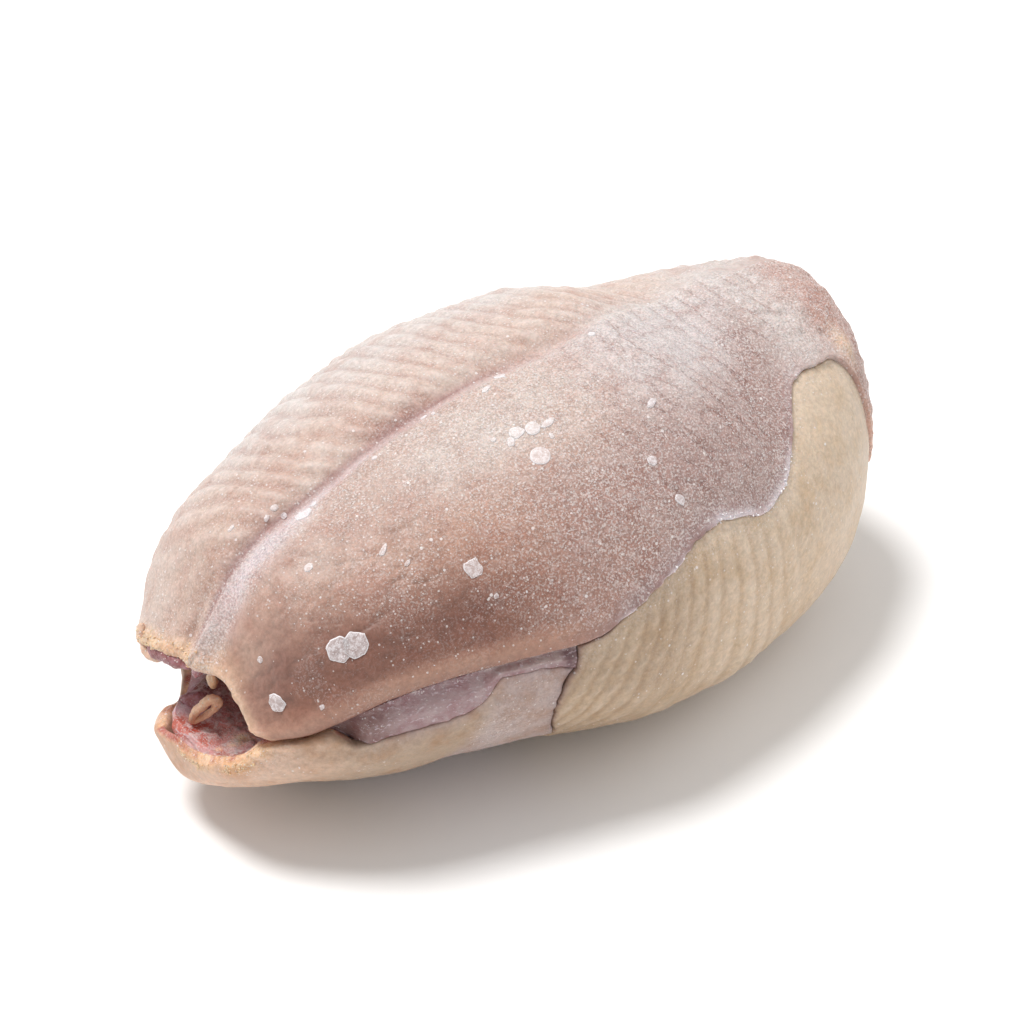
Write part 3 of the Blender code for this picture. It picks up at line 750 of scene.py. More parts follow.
class Breast:
    """The breast skin: its grid, and the masks that its relief, colour and frost share."""

    def __init__(self):
        self.along, self.angle, keel = breast_grid()
        (points, self.normal, x, self.from_far, from_near,
         self.from_front) = skin_places(self.along, self.angle)
        self.normal[-1] = (1, 0, 0)
        at_keel = np.abs(self.angle - keel).argmin(1)
        arc = self.from_far - self.from_far[np.arange(len(at_keel)), at_keel][:, None]
        self.points, self.x, self.arc, self.from_near = points, x, arc, from_near
        self.near_lobe, self.far_lobe = ramp(arc, 0.0, 0.006), ramp(arc, 0.0, -0.006)
        self.behind_belt = ramp(x, 0.09, 0.12)
        self.pole = ramp(self.along, LENGTH, LENGTH - 0.0015)
        self.fat_rim = (ramp(self.from_front, 0.0085, 0.003) * ramp(arc, 0.006, -0.004)
                        * ramp(self.from_far, 0.02, 0.03))
        self.rim_frost = np.exp(-from_near / 0.0012) * self.behind_belt * self.near_lobe
        self.roll = peak(arc, 0, 0.0038) * ramp(x, 0.032, 0.018)
        self.groove = peak(arc, -0.0062, 0.0014) + 0.4 * peak(arc, 0.0058, 0.0014)
        self.filled = ramp(x, 0.150, 0.185) * ramp(x, 0.235, 0.215)
        self.crinkled = (self.near_lobe * ramp(x, 0.105, 0.050)
                         * ramp(self.from_front, 0.002, 0.008) * ramp(from_near, 0.004, 0.012))
        self.crinkle = np.clip(1 - 2.6 * np.abs(fractal(points, 0.012, 3, 46)), 0, 1) ** 2
        self.haze = fractal(points, 0.020, 3, 41)

        # Follicle rows: their phases across and along, and their strength in each zone.
        near = arc > 0
        self.far_rows, self.near_rows = far_phase(x, -arc, points), near_phase(x, arc, points)
        self.row = np.where(near, self.near_rows, self.far_rows)
        self.bead = arc / (PITCH * np.where(near, 1.0, 1.3)) + 0.25 * noise(points, 0.016, 14)
        self.beads = wave(self.bead + 0.5 * np.floor(self.row))
        self.far_strength = (self.far_lobe * ramp(x, 0.002, 0.050) * ramp(x, 0.225, 0.19)
                             * (0.75 + 0.25 * noise(points, 0.03, 15)))
        self.near_zone = (self.near_lobe * ramp(x, 0.120, 0.165) * ramp(x, 0.240, 0.222)
                          * ramp(from_near, 0.004, 0.018))
        self.near_faint = (self.near_lobe * ramp(x, 0.030, 0.060) * ramp(x, 0.165, 0.120)
                           * ramp(arc, 0.005, 0.015))

    def relief(self):
        """How far the skin stands out of the plain body."""
        points, x, arc, pole = self.points, self.x, self.arc, self.pole
        from_near, from_front, near_lobe = self.from_near, self.from_front, self.near_lobe
        ridges = self.far_strength * swell(self.far_rows) * (0.00070 + 0.00050 * self.beads)
        scales = ((self.near_zone * 0.00062 + self.near_faint * 0.00018)
                  * (0.7 * swell(self.near_rows) + 0.3 * self.beads))
        soft = 0.0011 * fractal(points, 0.042, 2, 21) + 0.00034 * fractal(points, 0.011, 3, 24)
        calm = (ramp(from_near, 0.0, 0.012) * ramp(from_front, 0.0, 0.010)
                * ramp(self.from_far, 0.0, 0.01))
        lift = (soft * calm + ridges + scales) * pole

        # The rolled lip along the near edge in front, and the frosted rim beside the flank.
        lip = peak(from_near, 0.0045, 0.0035) * near_lobe
        lift += lip * (0.0011 - 0.0009 * self.behind_belt) * pole
        crumbs = np.abs(noise(points, 0.0017, 35)) + 0.5 * np.abs(noise(points, 0.0009, 36))
        lift += self.rim_frost * pole * 0.0011 * crumbs
        # Granular fat at the front rim of the far lobe, and the small roll between the lobes.
        grains = np.abs(noise(points, 0.0021, 32)) + 0.5 * np.abs(noise(points, 0.0011, 33))
        knobs = np.abs(noise(points, 0.0030, 39))
        lift += self.fat_rim * (0.0004 + 0.0007 * grains + 0.0016 * knobs)
        lift += ramp(from_front, 0.0060, 0.0020) * near_lobe * (0.0005 * grains + 0.0010 * knobs)
        lift += self.roll * (0.0032 + 0.0010 * knobs)
        lift -= 0.0008 * self.groove * ramp(x, 0.030, 0.018)
        # The near lobe's shoulder stands up beside the furrow, whose bottom is a sharp line.
        behind_roll = ramp(x, 0.030, 0.045) * ramp(x, 0.215, 0.185)
        lift += 0.0011 * peak(arc, 0.0042, 0.0032) * behind_roll
        lift -= 0.0005 * peak(arc, -0.0010, 0.0012) * behind_roll
        lift -= (0.0007 * peak(arc, -0.0022, 0.0014) * ramp(x, 0.014, 0.024)
                 * ramp(x, 0.070, 0.045))
        lift += 0.0008 * behind_roll * peak(arc, 0, 0.0048)
        lift += 0.0026 * self.filled * peak(arc, 0, 0.0058)
        lift -= folds(x, arc)
        lift += 0.0012 * blob(x, arc, 0.2395, 0.044, 0.0030, 0.005)
        # Crinkled skin over the front of the near lobe.
        lift -= 0.00045 * self.crinkled * self.crinkle
        lift += 0.00035 * self.crinkled * fractal(points, 0.0060, 3, 48)
        # Warty, puckered skin at the far end.
        end = ramp(x, 0.205, 0.235) * ramp(from_near, 0.0, 0.01)
        lift += end * pole * (0.0011 * np.abs(fractal(points, 0.006, 3, 34)) - 0.0004)
        lift += 0.0007 * np.exp(-from_near / 0.004) * self.behind_belt * near_lobe * pole
        edge = rolled(from_near, 0.0021 - 0.0013 * self.behind_belt)
        edge = np.maximum(edge, rolled(self.from_far, 0.0015))
        return lift - np.maximum(edge, rolled(from_front, 0.0026))

    def layers(self):
        """Colours over the base: (mask, colour) pairs."""
        x, arc, haze, behind_belt = self.x, self.arc, self.haze, self.behind_belt
        from_far, from_near, from_front = self.from_far, self.from_near, self.from_front
        near_lobe, far_lobe = ramp(arc, 0.0, 0.005), ramp(arc, 0.0, -0.005)
        centre = blob(x, arc, 0.105, 0.018, 0.050, 0.022)
        warm_front = blob(x, arc, 0.055, 0.012, 0.035, 0.016)
        grey = ramp(x, 0.125, 0.170) * ramp(arc, 0.062, 0.030)
        low = ramp(from_near, 0.045, 0.018) * ramp(x, 0.006, 0.026) * ramp(x, 0.130, 0.072)
        mauve = ramp(x, 0.120, 0.155) * ramp(from_near, 0.050, 0.020)
        painted_shade = ramp(x, 0.078, 0.120) * ramp(arc, 0.026, 0.048)
        in_front = ramp(x, 0.065, 0.040)
        furrow = (peak(arc - 0.0012, 0.0028 * in_front, 0.0024 + 0.0030 * in_front)
                  * ramp(x, 0.175, 0.070) * ramp(x, 0.016, 0.028))
        furrow = furrow * (0.5 + 0.5 * ramp(x, 0.095, 0.050))
        far_wall_shade = peak(arc, -0.0034, 0.0034) * ramp(x, 0.025, 0.045) * ramp(x, 0.135, 0.090)
        bottom = peak(arc, -0.0020, 0.0012) * ramp(x, 0.013, 0.022) * ramp(x, 0.150, 0.105)
        far_low = far_lobe * ramp(from_far, 0.055, 0.015) * ramp(x, 0.008, 0.032)
        far_warm = far_lobe * ramp(x, 0.110, 0.070) * ramp(-arc, 0.026, 0.010)
        pale_front = near_lobe * ramp(from_front, 0.024, 0.004) * ramp(arc, 0.028, 0.010)
        lip = peak(from_near, 0.0045, 0.0035) * (1 - behind_belt)
        end_pink = ramp(x, 0.224, 0.240) * ramp(arc, -0.01, 0.02)
        return (
            (peak(arc, 0, 0.0070), FURROW_SIDE),
            # Browner and darker towards the near edge: partly the skin's own brown, partly painted
            # shade.
            (near_lobe * low, NEAR_BROWN_AND_SHADE),
            # Painted shade over the lower, outer part of the near lobe.
            (near_lobe * painted_shade * 0.85, NEAR_PAINTED_SHADE),
            (near_lobe * np.clip(centre * 1.2 + 0.25 * haze * centre, 0, 1), NEAR_WARM),
            (near_lobe * warm_front * 0.75, NEAR_WARM),
            (near_lobe * grey, NEAR_GREY),
            (near_lobe * mauve, NEAR_MAUVE),
            (near_lobe * ramp(from_near, 0.009, 0.001) * behind_belt * 0.8, EDGE_PURPLE),
            (far_lobe, FAR_PINK),
            (far_lobe * (ramp(-arc, 0.014, 0.045) * 0.9 + 0.15 * haze), FAR_PALE),
            (far_lobe * ramp(x, 0.075, 0.030) * 0.6, FAR_TAN),
            (far_warm * (0.6 + 0.6 * haze), FAR_WARM),
            (far_low * 0.75, FAR_LOW),
            # Painted shade on the furrow's far wall, reddish brown.
            (far_wall_shade * (0.45 + 0.8 * haze) * 1.05, FURROW_WALL_SHADE),
            (furrow * 0.85, FURROW_LILAC),
            # Painted shadow: a dark line along the furrow's bottom, beside its far wall.
            (bottom * 0.85, FURROW_SHADOW_LINE),
            (peak(arc, 0, 0.0070) * ramp(x, 0.150, 0.180) * 0.9, FAR_PALE),
            (lip * near_lobe * 0.7, LIP_TAN),
            (pale_front * np.clip(0.7 + 1.2 * haze, 0, 1) * 0.7, RIM_CREAM),
            (ramp(from_front, 0.0060, 0.0010) * near_lobe * 0.75, RIM_CREAM),
            (self.fat_rim * 0.85, FAT_YELLOW),
            (ramp(x, 0.200, 0.226) * (0.9 + 0.2 * haze), END_GREY),
            (end_pink * (0.9 + 0.5 * haze), END_PINK),
            (ramp(x, 0.236, 0.246) * ramp(from_near, 0.012, 0.004) * 0.8, END_ORANGE),
            (blob(x, arc, 0.2395, 0.044, 0.0035, 0.006) * 0.9, END_CREAM),
        )

    def colours(self, crusted):
        """The skin's colour before frost, but with the crust along its rim."""
        tone = painted(NEAR_TAN, self.layers())
        # Painted shade: the skin is darker in the sunk grooves beside the roll.
        groove = np.clip(self.groove, 0, 1) * ramp(self.x, 0.030, 0.018) * 0.5
        tone = mix(tone, tone * 0.85, groove)
        patches = np.clip(0.25 + 1.0 * fractal(self.points, 0.014, 3, 47), 0, 1)
        tone = mix(tone, NEAR_PATCH, 0.45 * self.crinkled * patches)
        # Darker along the sunk crinkles: partly the skin's own colour, partly painted shade.
        tone = tone * (1 - 0.14 * self.crinkled * self.crinkle)[..., None]
        return mix(tone, FROST_LILAC, np.clip(0.9 * crusted, 0, 1))

    def frost(self):
        """How much frost lies on the skin."""
        points, x, arc, from_near = self.points, self.x, self.arc, self.from_near
        near_lobe, behind_belt = self.near_lobe, self.behind_belt
        shift = 0.0025 * ramp(x, 0.065, 0.040)
        furrow = peak(arc - 0.001, shift, 0.0044) * ramp(x, 0.195, 0.15)
        furrow = furrow * (1 + 0.8 * ramp(x, 0.050, 0.028) * ramp(x, 0.014, 0.024))
        frost = (near_lobe * (0.70 + 0.25 * ramp(x, 0.05, 0.11))
                 * ramp(from_near, 0.0, 0.009 - 0.006 * behind_belt))
        brown = ramp(from_near, 0.050, 0.020) * ramp(x, 0.130, 0.072) * near_lobe
        frost = frost * ramp(self.from_front, 0.004, 0.07) * (1 - 0.68 * brown)
        frost += self.far_lobe * 0.45
        frost += (0.5 + 0.6 * ramp(x, 0.075, 0.045)) * furrow + 0.16 * self.haze
        frost += 0.6 * self.roll * ramp(x, 0.012, 0.016) + 0.3 * peak(arc, 0, 0.008) * self.filled
        patches = ramp(fractal(points, 0.014, 4, 49), 0.0, 0.45) * ramp(x, 0.100, 0.060)
        frost += 0.22 * near_lobe * patches
        frost += 0.7 * peak(from_near, 0, 0.0014) * ramp(x, 0.045, 0.062) * (1 - behind_belt)
        frost += 0.5 * blob(x, arc, 0.114, 0.022, 0.010, 0.008)
        frost += 0.9 * self.rim_frost * ramp(noise(points, 0.01, 44), -0.3, 0.4)
        return np.clip(frost, 0, 1)

    def crust(self):
        """The crust of frost along the rim beside the flank."""
        thick = ramp(self.x, 0.148, 0.158) * ramp(self.x, 0.200, 0.190)
        crusted = peak(self.from_near, 0, 0.0011) * ramp(noise(self.points, 0.0036, 45), 0.1, 0.4)
        crusted = 0.8 * self.behind_belt * self.near_lobe * ramp(self.x, 0.225, 0.205) * crusted
        return np.maximum(crusted, thick * self.near_lobe * peak(self.from_near, 0, 0.0022))

    def piece(self):
        """The piece, and the places of its fat grains and of its crumbs of frost."""
        outer = raised(self.points, self.normal, self.relief())
        crusted = self.crust()
        tone = self.colours(crusted)
        strength = np.clip(0.40 * self.far_strength + self.near_zone + 0.25 * self.near_faint, 0, 1)
        far_fold = 2 * swell(self.far_rows) * (0.6 + 0.4 * self.beads) - 1
        fold = (0.6 + 0.45 * self.far_strength * far_fold
                + self.near_zone * 0.32 * (swell(self.near_rows) - 0.6))
        under_lobe = (ramp(self.arc, -0.004, -0.010) * ramp(self.arc, -0.050, -0.040)
                      * ramp(self.from_front, 0.003, 0.0005))
        fields = {"tone": tone, "frost": self.frost(), "fold": fold,
                  "rows": np.stack([self.row, self.bead, strength], -1)}
        piece = skin_piece("breast_skin", outer, body(self.along, self.angle, SKIN), fields,
                           {"tone": mix(tone * 0.92, TAG_PURPLE, under_lobe)})
        return (piece, scattered(outer, self.normal, self.fat_rim ** 2, *RIM_FAT),
                scattered(outer, self.normal, crusted ** 2 + 1e-9, *RIM_CRUMBS))


FLANK_CREAM = linear(207, 185, 161)
FLANK_TAN = linear(178, 153, 127)
FLANK_PALE = linear(208, 189, 169)
FLANK_EDGE = linear(140, 106, 98)
STRIP_COLUMNS = 10


def flank_layers(x, angle, from_near, from_belt, haze):
    edge = np.exp(-from_near / 0.0008) * ramp(x, 0.120, 0.105)
    edge += np.exp(-from_belt / 0.0009) * ramp(angle, 130, 100)
    return (
        (ramp(x, 0.165, 0.115) * (0.9 + 0.3 * haze), FLANK_TAN),
        (ramp(x, 0.19, 0.24) * (0.9 + 0.3 * haze), FLANK_PALE),
        (np.clip(edge, 0, 1) * 0.75, FLANK_EDGE),
    )


def flank_grid():
    """The flank's distances and angles. The strip beside the breast skin has columns of its own."""
    rows, columns = FLANK_STEPS
    share = np.linspace(0, 1, columns + 1) ** 1.12
    start = np.concatenate([[BELT], belt_line(share)])
    along = rows_between((start, np.full_like(start, LENGTH), rows))
    along[0] += GAP
    along[-1] = LENGTH - FLANK_STOP
    top = near_edge_of(along[:, :1]) + edge_gap(BREAST_NEAR_EDGE, along[:, :1])
    angle = np.concatenate([top, under_angles(along[:, 1:], share)], axis=1)
    angle[:, -1] -= edge_gap(FAR_SEAM, along[:, -1])
    between = np.linspace(0, 1, STRIP_COLUMNS + 1)[None, 1:-1]
    return [np.concatenate([grid[:, :1], grid[:, :1] + (grid[:, 1:2] - grid[:, :1]) * between,
                            grid[:, 1:]], axis=1) for grid in (along, angle)]


def flank_piece():
    """The cream skin of the flank and the underside, with its fine rows of ridges."""
    along, angle = flank_grid()
    points, normal, x, from_near, from_far, from_belt = skin_places(along, angle)
    lean = np.interp(x, (0.105, 0.165, 0.200), (0.5, 0.0, -0.2))
    row = (x + lean * from_near) / (0.92 * PITCH) + 0.12 * noise(points, 0.025, 51)
    row = row + 0.05 * noise(points, 0.008, 50)
    bead = from_near / (0.9 * PITCH) + 0.2 * noise(points, 0.016, 52)
    beads = swell(bead + 0.5 * np.floor(row))
    strength = ramp(from_near, 0.0, 0.006) * ramp(angle, 150, 105) * ramp(x, 0.225, 0.17)
    strength = strength * np.clip(0.8 + 0.4 * noise(points, 0.03, 53), 0, 1)
    lift = strength * swell(row) * (0.00030 + 0.00045 * beads)
    lift = lift + 0.0007 * fractal(points, 0.035, 2, 54) + 0.00016 * fractal(points, 0.006, 3, 56)
    lift = lift * ramp(along, LENGTH - 0.0005, LENGTH - 0.004)
    edge = np.maximum(rolled(from_belt, 0.0009), rolled(from_far, 0.0015))
    haze = fractal(points, 0.018, 3, 58)
    tone = painted(FLANK_CREAM, flank_layers(x, angle, from_near, from_belt, haze))
    frost = np.clip(0.10 + 0.10 * haze + 0.25 * peak(from_near, 0.003, 0.004), 0, 1)
    fold = 0.55 + 0.5 * strength * (2 * swell(row) * (0.45 + 0.55 * beads) - 0.8)
    fields = {"tone": tone, "frost": frost, "fold": fold,
              "rows": np.stack([2.2 * row, 2.0 * bead, 0.22 * ramp(from_near, 0.0, 0.03)], -1)}
    skin_piece("flank_skin", raised(points, normal, lift - edge), body(along, angle, SKIN), fields,
               {"tone": tone * 0.9})


BASE_CREAM = linear(175, 151, 129)
BASE_TAN = linear(214, 180, 158)
MEMBRANE = linear(178, 158, 154)
PURPLE = linear(104, 76, 80)
LIP_YELLOW = linear(230, 188, 146)
LIP_RED = linear(178, 88, 70)
LIP_PALE = linear(230, 190, 154)
BAND = linear(168, 143, 144)
BAND_PURPLE = linear(142, 112, 116)
BAND_BROWN = linear(122, 86, 80)
BACK_AXIS_LIFT = 0.01


def back_layers(x, from_near, from_belt, haze):
    edge = 0.9 * np.exp(-from_belt / 0.0012)
    edge += 0.5 * np.exp(-from_near / 0.0008) * ramp(x, 0.088, 0.094)
    return (
        (ramp(x, 0.045, 0.010) * 0.9, BASE_TAN),
        (ramp(x + 0.35 * from_near, 0.068, 0.082) * 0.9, MEMBRANE),
        (np.exp(-from_near / 0.0030) * ramp(x, 0.03, 0.05) * 0.6, BAND),
        (np.clip(edge, 0, 1) * 0.8, PURPLE),
    )


def back_grid():
    """The back skin's distances and angles, with finer rows in the lower lip of the mouth."""
    columns, lip_rows, front_rows = BACK_STEPS
    share = np.linspace(0, 1, columns + 1)
    lip = BREAST_FRONT[-1][1] + (FAR_SEAM[0][0] - BREAST_FRONT[-1][1]) * share
    along = rows_between((np.zeros_like(share), lip, lip_rows),
                         (lip, belt_line(share), front_rows))
    along[-1] -= GAP
    angle = under_angles(along, share)
    angle[:, 0] += edge_gap(BACK_NEAR_EDGE, along[:, 0])
    angle[:, -1] -= edge_gap(FAR_SEAM, along[:, -1])
    return along, angle


def back_piece():
    """The tan skin under the front half, and the places of the fat grains on its lip."""
    along, angle = back_grid()
    points, normal, x, from_near, from_far, _ = skin_places(along, angle, BACK_AXIS_LIFT)
    normal[0] = (-1, 0, 0)
    from_belt = distances(points[::-1], 0)[::-1]
    wrinkle = fractal(points, np.array([0.004, 0.012, 0.0035]), 3, 61)
    lift = 0.00028 * wrinkle + 0.0007 * fractal(points, 0.025, 2, 62)
    rim_grains = ramp(from_near, 0.007, 0.001) * ramp(x, 0.036, 0.020)
    lift += rim_grains * (0.0010 * np.abs(noise(points, 0.0030, 64))
                          + 0.0005 * np.abs(noise(points, 0.0014, 66)))
    lift *= ramp(along, 0.0, 0.004)
    edge = rolled(from_near, 0.0003 + 0.0021 * ramp(x, 0.038, 0.028))
    edge = np.maximum(np.maximum(edge, rolled(from_far, 0.0022)), rolled(from_belt, 0.0012))
    edge *= ramp(along, 0.0, 0.009)
    outer = blunted(raised(points, normal, lift - edge))

    haze = fractal(points, 0.014, 3, 65)
    lip_fat = ramp(from_near, 0.0055, 0.0015) * ramp(points[..., 1], 0.002, -0.006)
    lip_fat = lip_fat * ramp(x, 0.020, 0.012) * np.clip(0.7 + 0.8 * noise(points, 0.004, 67), 0, 1)
    tone = painted(BASE_CREAM, back_layers(x, from_near, from_belt, haze))
    tone = mix(tone, LIP_YELLOW, lip_fat * 0.85)
    frost = np.clip(0.12 + 0.2 * haze + 0.15 * ramp(x + 0.35 * from_near, 0.068, 0.082), 0, 1)
    lip_spots = np.clip(0.55 + 1.5 * fractal(points, 0.0032, 3, 68), 0, 1)
    in_mouth = ramp(x, 0.036, 0.026)
    wall = mix(tone * 0.85, mix(LIP_RED + 0 * points, LIP_PALE, lip_spots), in_mouth)
    fields = {"tone": tone, "frost": frost, "fold": 0.6 + 0 * x,
              "rows": np.stack([x / PITCH, from_near / PITCH, 0 * x], -1)}
    piece = skin_piece("back_skin", outer, blunted(body(along, angle, SKIN)), fields,
                       {"tone": wall, "frost": 0.55 * in_mouth + 0.1 * haze})
    fat_weight = (lip_fat + 0.02 * ramp(x, 0.03, 0.02) * ramp(from_near, 0.006, 0.002)) ** 2
    return piece, scattered(outer, normal, fat_weight, *LIP_FAT)


# ---------------------------------------------------------------- the meat and its hollow


def mouth_wall(along, angle):
    """Points of the hollow behind the cut face."""
    floor, roof = through(MOUTH_FLOOR, along), through(MOUTH_ROOF, along)
    sine, cosine = np.sin(np.radians(angle)), np.cos(np.radians(angle))
    y = -through(MOUTH_HALF_WIDTH, along) * np.sign(sine) * np.abs(sine) ** 0.9
    z = (floor + roof) / 2 + (roof - floor) / 2 * np.sign(cosine) * np.abs(cosine) ** 0.9
    return np.stack([along - LENGTH / 2, y, z], -1)


# Painted light: the mouth's colours are made lighter than the tissue's own, against the shade in
# the hollow.
MOUTH_PAINTED_LIGHT = 1.5
MOUTH_RED = linear(170, 94, 80)
MOUTH_DEEP_RED = linear(158, 66, 54)
MOUTH_PURPLE = linear(184, 146, 144)
MOUTH_LILAC = linear(188, 160, 172)
MOUTH_DARK_AND_SHADE = linear(112, 52, 42)
MOUTH_BROWN = linear(160, 92, 70)
MOUTH_CREAM = linear(226, 190, 158)
# Soft spots of colour in the mouth: place, radius and colour.
MOUTH_SPOTS = (
    (-0.1016, 0.0216, 0.0300, 0.0080, MOUTH_DARK_AND_SHADE), (-0.1050, 0.0200, 0.0350, 0.0070, MOUTH_DARK_AND_SHADE),
    (-0.1113, 0.0149, 0.0280, 0.0060, MOUTH_LILAC), (-0.1186, 0.0078, 0.0285, 0.0050, MOUTH_RED),
    (-0.1198, 0.0085, 0.0255, 0.0050, MOUTH_RED),
    (-0.1139, 0.0029, 0.0273, 0.0034, MOUTH_DEEP_RED),
    (-0.1165, -0.0020, 0.0270, 0.0022, MOUTH_RED),
    (-0.1160, -0.0125, 0.0292, 0.0030, MOUTH_BROWN),
    (-0.1140, -0.0160, 0.0310, 0.0032, MOUTH_BROWN),
    (-0.1107, -0.0094, 0.0265, 0.0030, MOUTH_CREAM),
    (-0.1060, -0.0110, 0.0260, 0.0026, MOUTH_CREAM),
)


def mouth_colours(points):
    """The tissue's colours in and round the hollow, one soft spot after the other, then made
    lighter as painted light.
    """
    shade = fractal(points, 0.006, 3, 87)
    tone = mix(MOUTH_PURPLE + 0 * points, MOUTH_RED, np.clip(0.15 + 0.5 * shade, 0, 1))
    uneven = 1 + 0.5 * fractal(points, 0.004, 2, 85)
    for px, py, pz, radius, colour in MOUTH_SPOTS:
        off = np.linalg.norm(points - np.array((px, py, pz)), axis=-1) * uneven
        tone = mix(tone, colour, 0.8 * ramp(off, 1.5 * radius, 0.5 * radius))
    return np.minimum(MOUTH_PAINTED_LIGHT * tone, 0.92)


def core_side():
    """The core's outside: fine in the bare band, plain under the skins. Gives its points, angles,
    colours and frost."""
    (over, band_columns, under), (front_rows, rear_rows) = CORE_COLUMNS, CORE_ROWS
    side = np.linspace(-1, 1, over + 1)
    band_share = np.linspace(0, 1, band_columns + 2)[1:-1]
    share = np.linspace(0, 1, under + 1)[:-1]
    parts = (side, band_share, share)
    is_band = np.concatenate([np.full(len(part), part is band_share) for part in parts])
    columns = len(is_band)
    down_band = np.zeros(columns)
    down_band[is_band] = band_share

    def angles(along):
        upper, band, lower = np.split(along, [len(side), len(side) + len(band_share)], axis=1)
        keel = keel_angle(upper)
        reach = np.where(side < 0, keel - through(FAR_SEAM, upper) + 360,
                         through(BREAST_NEAR_EDGE, upper) - keel)
        top, low = through(BREAST_NEAR_EDGE, band), under_angles(band, 0.0)
        return np.concatenate([keel + side * reach, top + (low - top) * band_share,
                               under_angles(lower, share)], axis=1)

    belt = np.concatenate([np.full(len(side), BELT),
                           BELT + (belt_line(0.0) - BELT) * band_share, belt_line(share)])
    front = through(CORE_FRONT, angles(np.full((1, columns), BREAST_FRONT[-1][1]))[0])
    along = rows_between((front, belt - BAND_END_SLOPE, front_rows),
                         (belt - BAND_END_SLOPE, belt, 1),
                         (belt, np.full(columns, LENGTH), rear_rows))
    angle = angles(along)
    points = body(along, angle, CORE_DEPTH)
    bare = ramp(along, BAND_START - 0.004, BAND_START + 0.003)
    bare = bare * (np.arange(len(along))[:, None] <= front_rows)
    band_angle = angle[:, is_band]
    wall = np.minimum(down_band, 1 - down_band) * (band_angle[:, -1:] - band_angle[:, :1])
    wall = ramp(wall, 0.0, 0.16) * is_band
    fibres = fractal(points, np.array([0.0016, 0.02, 0.006]), 2, 71)
    under_skin = 0.0003 + 0.0016 * ramp(down_band, 0.60, 0.10)
    rise = bare * wall * (CORE_DEPTH - under_skin + 0.00025 * fibres
                          + 0.0004 * fractal(points, 0.012, 2, 72))
    outer = body(along, angle, CORE_DEPTH - rise)
    x = outer[..., 0] + LENGTH / 2
    membrane = ramp(x, 0.068, 0.080) * ramp(down_band, 0.75, 0.55)
    tone = painted(BAND, (
        (ramp(down_band, 0.50, 0.05) * 0.60 * is_band + 0 * x, BAND_PURPLE),
        (ramp(x, 0.050, 0.039) * 0.8 * is_band, BAND_BROWN),
        (membrane * is_band * 0.8, MEMBRANE),
        (ramp(x, 0.034, 0.028), MOUTH_PURPLE),
        (ramp(x, 0.094, 0.097) * is_band * 0.8, PURPLE),
    ))
    frost = (0.06 + 0.20 * fractal(outer, 0.01, 2, 73)) * is_band + 0.3 * (~is_band)
    frost = frost + 0.6 * ramp(down_band, 0.22, 0.02) * is_band * ramp(x, 0.042, 0.055)
    return outer, angle[0], tone, frost


def core_hollow(rim, angle):
    """The hollow from the cut face to its end: its points, colours and frost."""
    ring = rim[:, 0] + LENGTH / 2 + MOUTH_LIP
    depth_share = np.linspace(0, 1, MOUTH_ROWS + 1)[:, None]
    inward = ring + (MOUTH_END - ring) * depth_share
    hollow = mouth_wall(inward, angle)
    way = hollow.mean(1, keepdims=True) - hollow
    way /= np.linalg.norm(way, axis=-1, keepdims=True) + 1e-9
    up = np.cos(np.radians(angle))[None] + 0 * inward
    lumps = (0.0024 * np.abs(fractal(hollow, 0.011, 3, 81))
             + 0.0007 * fractal(hollow, 0.0035, 3, 84)
             + 0.0004 * np.abs(fractal(hollow, 0.0013, 2, 86)))
    lumps = lumps + 0.0030 * ramp(up, -0.2, -0.8) * blob(inward, 0, 0.024, 0, 0.008, 1)
    settle = ramp(depth_share, 1.0, 0.85) * ramp(depth_share, 0, 0.10)
    hollow = hollow + way * (lumps * settle)[..., None]
    hollow[-1] = (MOUTH_END + 0.002 - LENGTH / 2, 0, MOUTH_ROOF[-1][1])
    deep = ramp(inward, 0.026, 0.055)
    # Painted shade: the hollow is darker deeper in and under its roof.
    dark = np.clip(deep + ramp(up, 0.2, 0.9) * 0.5, 0, 1) * 0.8
    frost = (0.35 + 0.65 * ramp(up, 0.0, -0.6)) * (1 - deep)
    return hollow, mix(mouth_colours(hollow), MOUTH_DARK_AND_SHADE, dark), frost


def core_face(rim, hollow_rim):
    """The cut face between the core's rim and the hollow: its points, colours and frost."""
    share = np.linspace(0, 1, FACE_ROWS + 2)[1:-1, None]
    face = mix(rim, hollow_rim, share + np.zeros(len(rim)))
    arch = np.sin(math.pi * share)
    bulge = arch * (0.0010 + 0.0012 * np.abs(fractal(face, 0.005, 3, 88)))
    face[..., 0] -= bulge + arch * 0.0005 * np.abs(noise(face, 0.0013, 90))
    return face, mouth_colours(face), 0.65 + 0.4 * fractal(face, 0.005, 3, 89)


def meat_piece():
    """The core: bare in the band, hollow at the cut end, one closed mesh."""
    outer, angle, tone, frost = core_side()
    hollow, hollow_tone, hollow_frost = core_hollow(outer[0], angle)
    face, face_tone, face_frost = core_face(outer[0], hollow[0])
    grid = np.concatenate([outer[::-1], face, hollow])
    frost = np.concatenate([frost[::-1], face_frost, hollow_frost])
    fields = {"tone": np.concatenate([tone[::-1], face_tone, hollow_tone]).reshape(-1, 3),
              "frost": np.clip(frost, 0, 1).ravel()}
    faces = grid_quads(*grid.shape[:2], wrap=True)
    object_from("meat_detail", grid.reshape(-1, 3), faces, meat_look(), "meat", fields, "meat")


# ---------------------------------------------------------------- small things in the mouth

LOOP_LOW, LOOP_HIGH = np.array((-0.1148, 0.0058, 0.0294)), np.array((-0.1106, -0.0006, 0.0396))
LOOP_SIDE = np.array((0.80, -0.58, -0.15))
LOOP_HALF_WIDTH, LOOP_TUBE, LOOP_STEPS = 0.0019, 0.00125, 72
